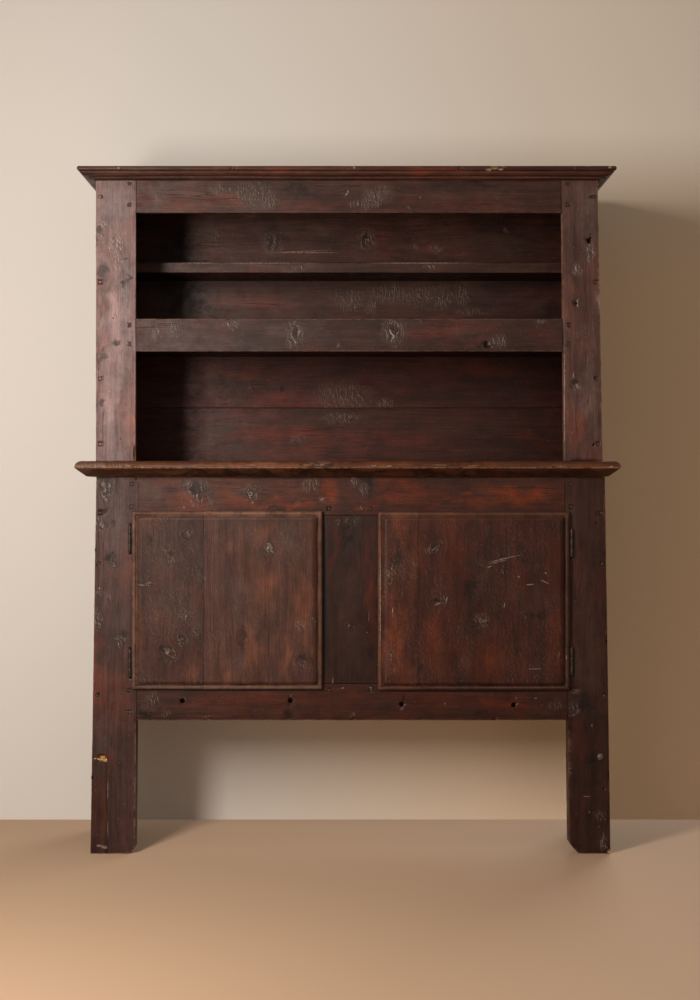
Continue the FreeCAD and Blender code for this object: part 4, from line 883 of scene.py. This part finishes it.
def chipped(piece, size, finish):
    """Cuts one ragged chip out of a piece: its place and its three half sizes in millimetres."""
    x, y, z, half_x, half_y, half_z = [v * millimetre for v in size]
    cutter = simple(bpy.ops.mesh.primitive_ico_sphere_add, subdivisions=2, radius=1, location=(x, y, z),
                    scale=(half_x, half_y, half_z))
    cutter.data.materials.append(finish)
    use(cutter, "DISPLACE", texture=ragged_chip, strength=min(half_x, half_y, half_z) * 0.7, mid_level=0.5)
    use(piece, "BOOLEAN", operation="DIFFERENCE", solver="EXACT", material_mode="TRANSFER", object=cutter)
    bpy.data.objects.remove(cutter)


def worn_board(node, body, finish, grain, arris, rim, chips):
    """A board as use has left it: its sawn shape, with rubbed arrises and a face that is no longer flat."""
    piece = copied(node + "_worn", node, finish)
    arrises, joints, hollows = sort_edges(piece, node, math.radians(38), 0.004)
    use(piece, "BEVEL", width=arris, segments=2, limit_method="WEIGHT")
    for tear, sizes in chips:
        for size in sizes:
            chipped(piece, size, tear)
    cut_rows(piece, node, grain, arris * 0.3)
    if rim:
        mark_rim(piece, *rim)
    mark_edges(piece, {"arris": (arrises, 0.009), "joint": (joints, 0.007), "hollow": (hollows, 0.0026)})
    use(piece, "DISPLACE", texture=slow_swell, strength=0.0006, mid_level=1.0)
    use(piece, "DISPLACE", texture=rubbed, strength=0.0022, mid_level=0.96, vertex_group="rubbed_edge")
    held_in(piece, node)
    standing_for(piece, node, body)


def softened(name, node, body, finish, arris):
    """Smithed or riven pieces: every edge softened, as the hammer or the knife left it."""
    sharp = math.radians(30)
    piece = copied(name, node, finish)
    arrises = sort_edges(piece, node, sharp, 0.002)[0]
    use(piece, "BEVEL", width=arris, segments=2, limit_method="ANGLE", angle_limit=sharp)
    mark_edges(piece, {"arris": (arrises, 0.0016)})
    use(piece, "DISPLACE", texture=hammered, strength=arris * 0.8, mid_level=1.0)
    standing_for(piece, node, body)


def board_finish(node, kind, grain, seed, marks, **more):
    """The pine of one board: its own grain, and its tones tinted. Its worn and pale tones keep their hue."""
    chance = random.Random(seed)
    shift = tuple(chance.uniform(-3, 3) for _ in range(3))
    low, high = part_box(node)
    pith = (low + high) / 2 + Vector(chance.uniform(-0.09, 0.09) for _ in range(3))
    pith.y = high.y + chance.uniform(0.02, 0.09)
    tint = marks.get("tint", (1, 1, 1))
    even = (min(sum(tint) / 3, 1.4),) * 3
    tones = [tuple(a * b for a, b in zip(tone[:3], even if place > 3 else tint)) + (1.0,)
             for place, tone in enumerate(board_tones[kind])]
    return old_pine(node + "_finish", tones, grain, shift, tuple(pith), marks, own_shade=chance.uniform(0.72, 1.2),
                    **more)


number = 0
for slot, kind, grain, face, nodes in boards:
    for node in nodes.split():
        body, marks = frame["nodes"][node]["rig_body"], board_marks.get(node, {})
        rack_back, counter = node.startswith("rack_back"), node.startswith("counter")
        door = "door" in node and "board" in node
        moulded = door or counter or node.startswith("cornice")
        # The finishes paint shade: under the counter, across the boards as the window light falls off, and in the
        # rack's back.
        finish = board_finish(
            node, kind, grain, number, marks, face=face,
            rim={"left_door": 0.5, "right_door": 0.3}[body] if door else 0.0,
            bare_back=door or rack_back or node.startswith(("base_top", "base_bottom", "base_centre")),
            under=0.5 if counter else 0.0, ringed=0.5, seams=0.35 if rack_back else 0.75,
            bleached=0.0 if kind == "inner" or node == "rack_back_upper" else 1.0, corner=0.5 if rack_back else 0.0)
        worn_board(node, body, finish, grain, crisp_arris if moulded else rubbed_arris,
                   door_rims[body] if door else None, [(tear, marks.get(name, ())) for name, tear in tears.items()])
        number += 1

# Nails, pegs and hinges
for node, part in list(frame["nodes"].items()):
    if part.hide_render:
        continue
    body = part["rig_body"]
    if node == "joint_pegs":
        peg_finish = board_finish(node, "mid", "Y", 91, {"tint": (1.05, 0.95, 0.95)}, face=frame_front)
        softened("riven_pegs", node, body, peg_finish, 0.0008)
    else:
        hinge = "leaf" in node or "pins" in node
        softened(node + "_smithed", node, body, iron if hinge else stained_iron, 0.0003 if hinge else 0.0008)

# One large domed head, low on the right foot
domed_head = simple(bpy.ops.mesh.primitive_uv_sphere_add, segments=32, ring_count=16, radius=1,
                    location=(0.6827, -0.1785, 0.262), scale=(0.0098, 0.0062, 0.0102))
domed_head.name = "domed_foot_nail"
domed_head.data.materials.append(rubbed_iron)
use(domed_head, "DISPLACE", texture=hammered, strength=0.0012, mid_level=1.0)
pick(domed_head)
bpy.ops.object.shade_smooth_by_angle(angle=crease)
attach(domed_head, "carcase")


# Floor, light and camera

def studio(name, tone):
    finish, _ = new_finish(name)
    surface = tree.nodes["Principled BSDF"]
    surface.inputs["Base Color"].default_value = tone
    surface.inputs["Roughness"].default_value = 0.8
    return finish


floor = simple(bpy.ops.mesh.primitive_plane_add, size=30, location=(0, 0, 0))
floor.name = "studio_floor"
floor.data.materials.append(studio("studio_floor_finish", colour(188, 156, 128)))

# The backdrop shows only from the front, and neither shades the part nor hides its back.
backdrop = simple(bpy.ops.mesh.primitive_plane_add, size=30, location=(0, 0.3, 15),
                  rotation=(math.radians(90), 0, 0))
backdrop.name = "studio_wall"
backdrop_finish = studio("studio_wall_finish", colour(205, 197, 186))
surface = tree.nodes["Principled BSDF"]
where = axes(add("TexCoord").outputs["Object"])
# Painted shade: the wall turns a warmer tone towards the lower right, where it lies in shade from the window light.
painted_shade_tint = times(spread(where["X"], -0.6, 0.9), spread(where["Z"], 2.1, 1.5, 0.3))
painted_shade_tint = blend_in(painted_shade_tint, colour(211, 206, 200), colour(237, 211, 179))
tree.links.new(painted_shade_tint, surface.inputs["Base Color"])
behind = add("NewGeometry").outputs["Backfacing"]
clear = add("BsdfTransparent").outputs[0]
both = add("MixShader", None, {0: behind, 1: surface.outputs[0], 2: clear})
tree.links.new(both.outputs[0], tree.nodes["Material Output"].inputs["Surface"])
backdrop.data.materials.append(backdrop_finish)
backdrop.visible_diffuse = backdrop.visible_transmission = False
backdrop.visible_volume_scatter = backdrop.visible_shadow = False

# The camera and reflections see pale air, the part is lit by a weaker one.
world = bpy.data.worlds.new("studio_air")
world.use_nodes = True
scene.world = world
tree = world.node_tree
tree.nodes.clear()
ray = add("LightPath").outputs
seen = most(most(ray["Is Camera Ray"], ray["Is Glossy Ray"]), ray["Is Transmission Ray"])
fill = add("Background", None, {"Color": colour(255, 244, 230), "Strength": 0.17}).outputs[0]
pale_air = add("Background", None, {"Color": colour(222, 211, 196), "Strength": 1.0}).outputs[0]
either = add("MixShader", None, {0: seen, 1: fill, 2: pale_air}).outputs[0]
add("OutputWorld", None, {"Surface": either})


def lamp(name, place, aim, size, power, tone):
    light = bpy.data.lights.new(name, "AREA")
    light.shape = "RECTANGLE"
    light.size, light.size_y = size
    light.energy = power
    light.color = colour(*tone)[:3]
    made = bpy.data.objects.new(name, light)
    scene.collection.objects.link(made)
    made.location = place
    made.rotation_euler = (Vector(aim) - Vector(place)).to_track_quat("-Z", "Y").to_euler()


lamp("window_light", (-1.31, -2.38, 1.62), (0, -0.178, 1.0), (0.45, 1.4), 78, (255, 246, 236))
lamp("front_fill", (1.2, -4.6, 1.4), (0, 0, 0.9), (2.4, 2.4), 12, (255, 240, 226))
lamp("back_fill", (1.6, 3.2, 2.4), (0, 0, 0.9), (1.8, 1.8), 60, (255, 246, 236))

camera = bpy.data.objects.new("camera", bpy.data.cameras.new("camera"))
scene.collection.objects.link(camera)
camera.location = (0.0063, -4.778, 0.9828)
camera.rotation_euler = (math.radians(90), 0, 0)
camera.data.sensor_width = 36
camera.data.sensor_fit = "AUTO"
camera.data.lens = 61.3
camera.data.shift_y = -0.01
scene.camera = camera
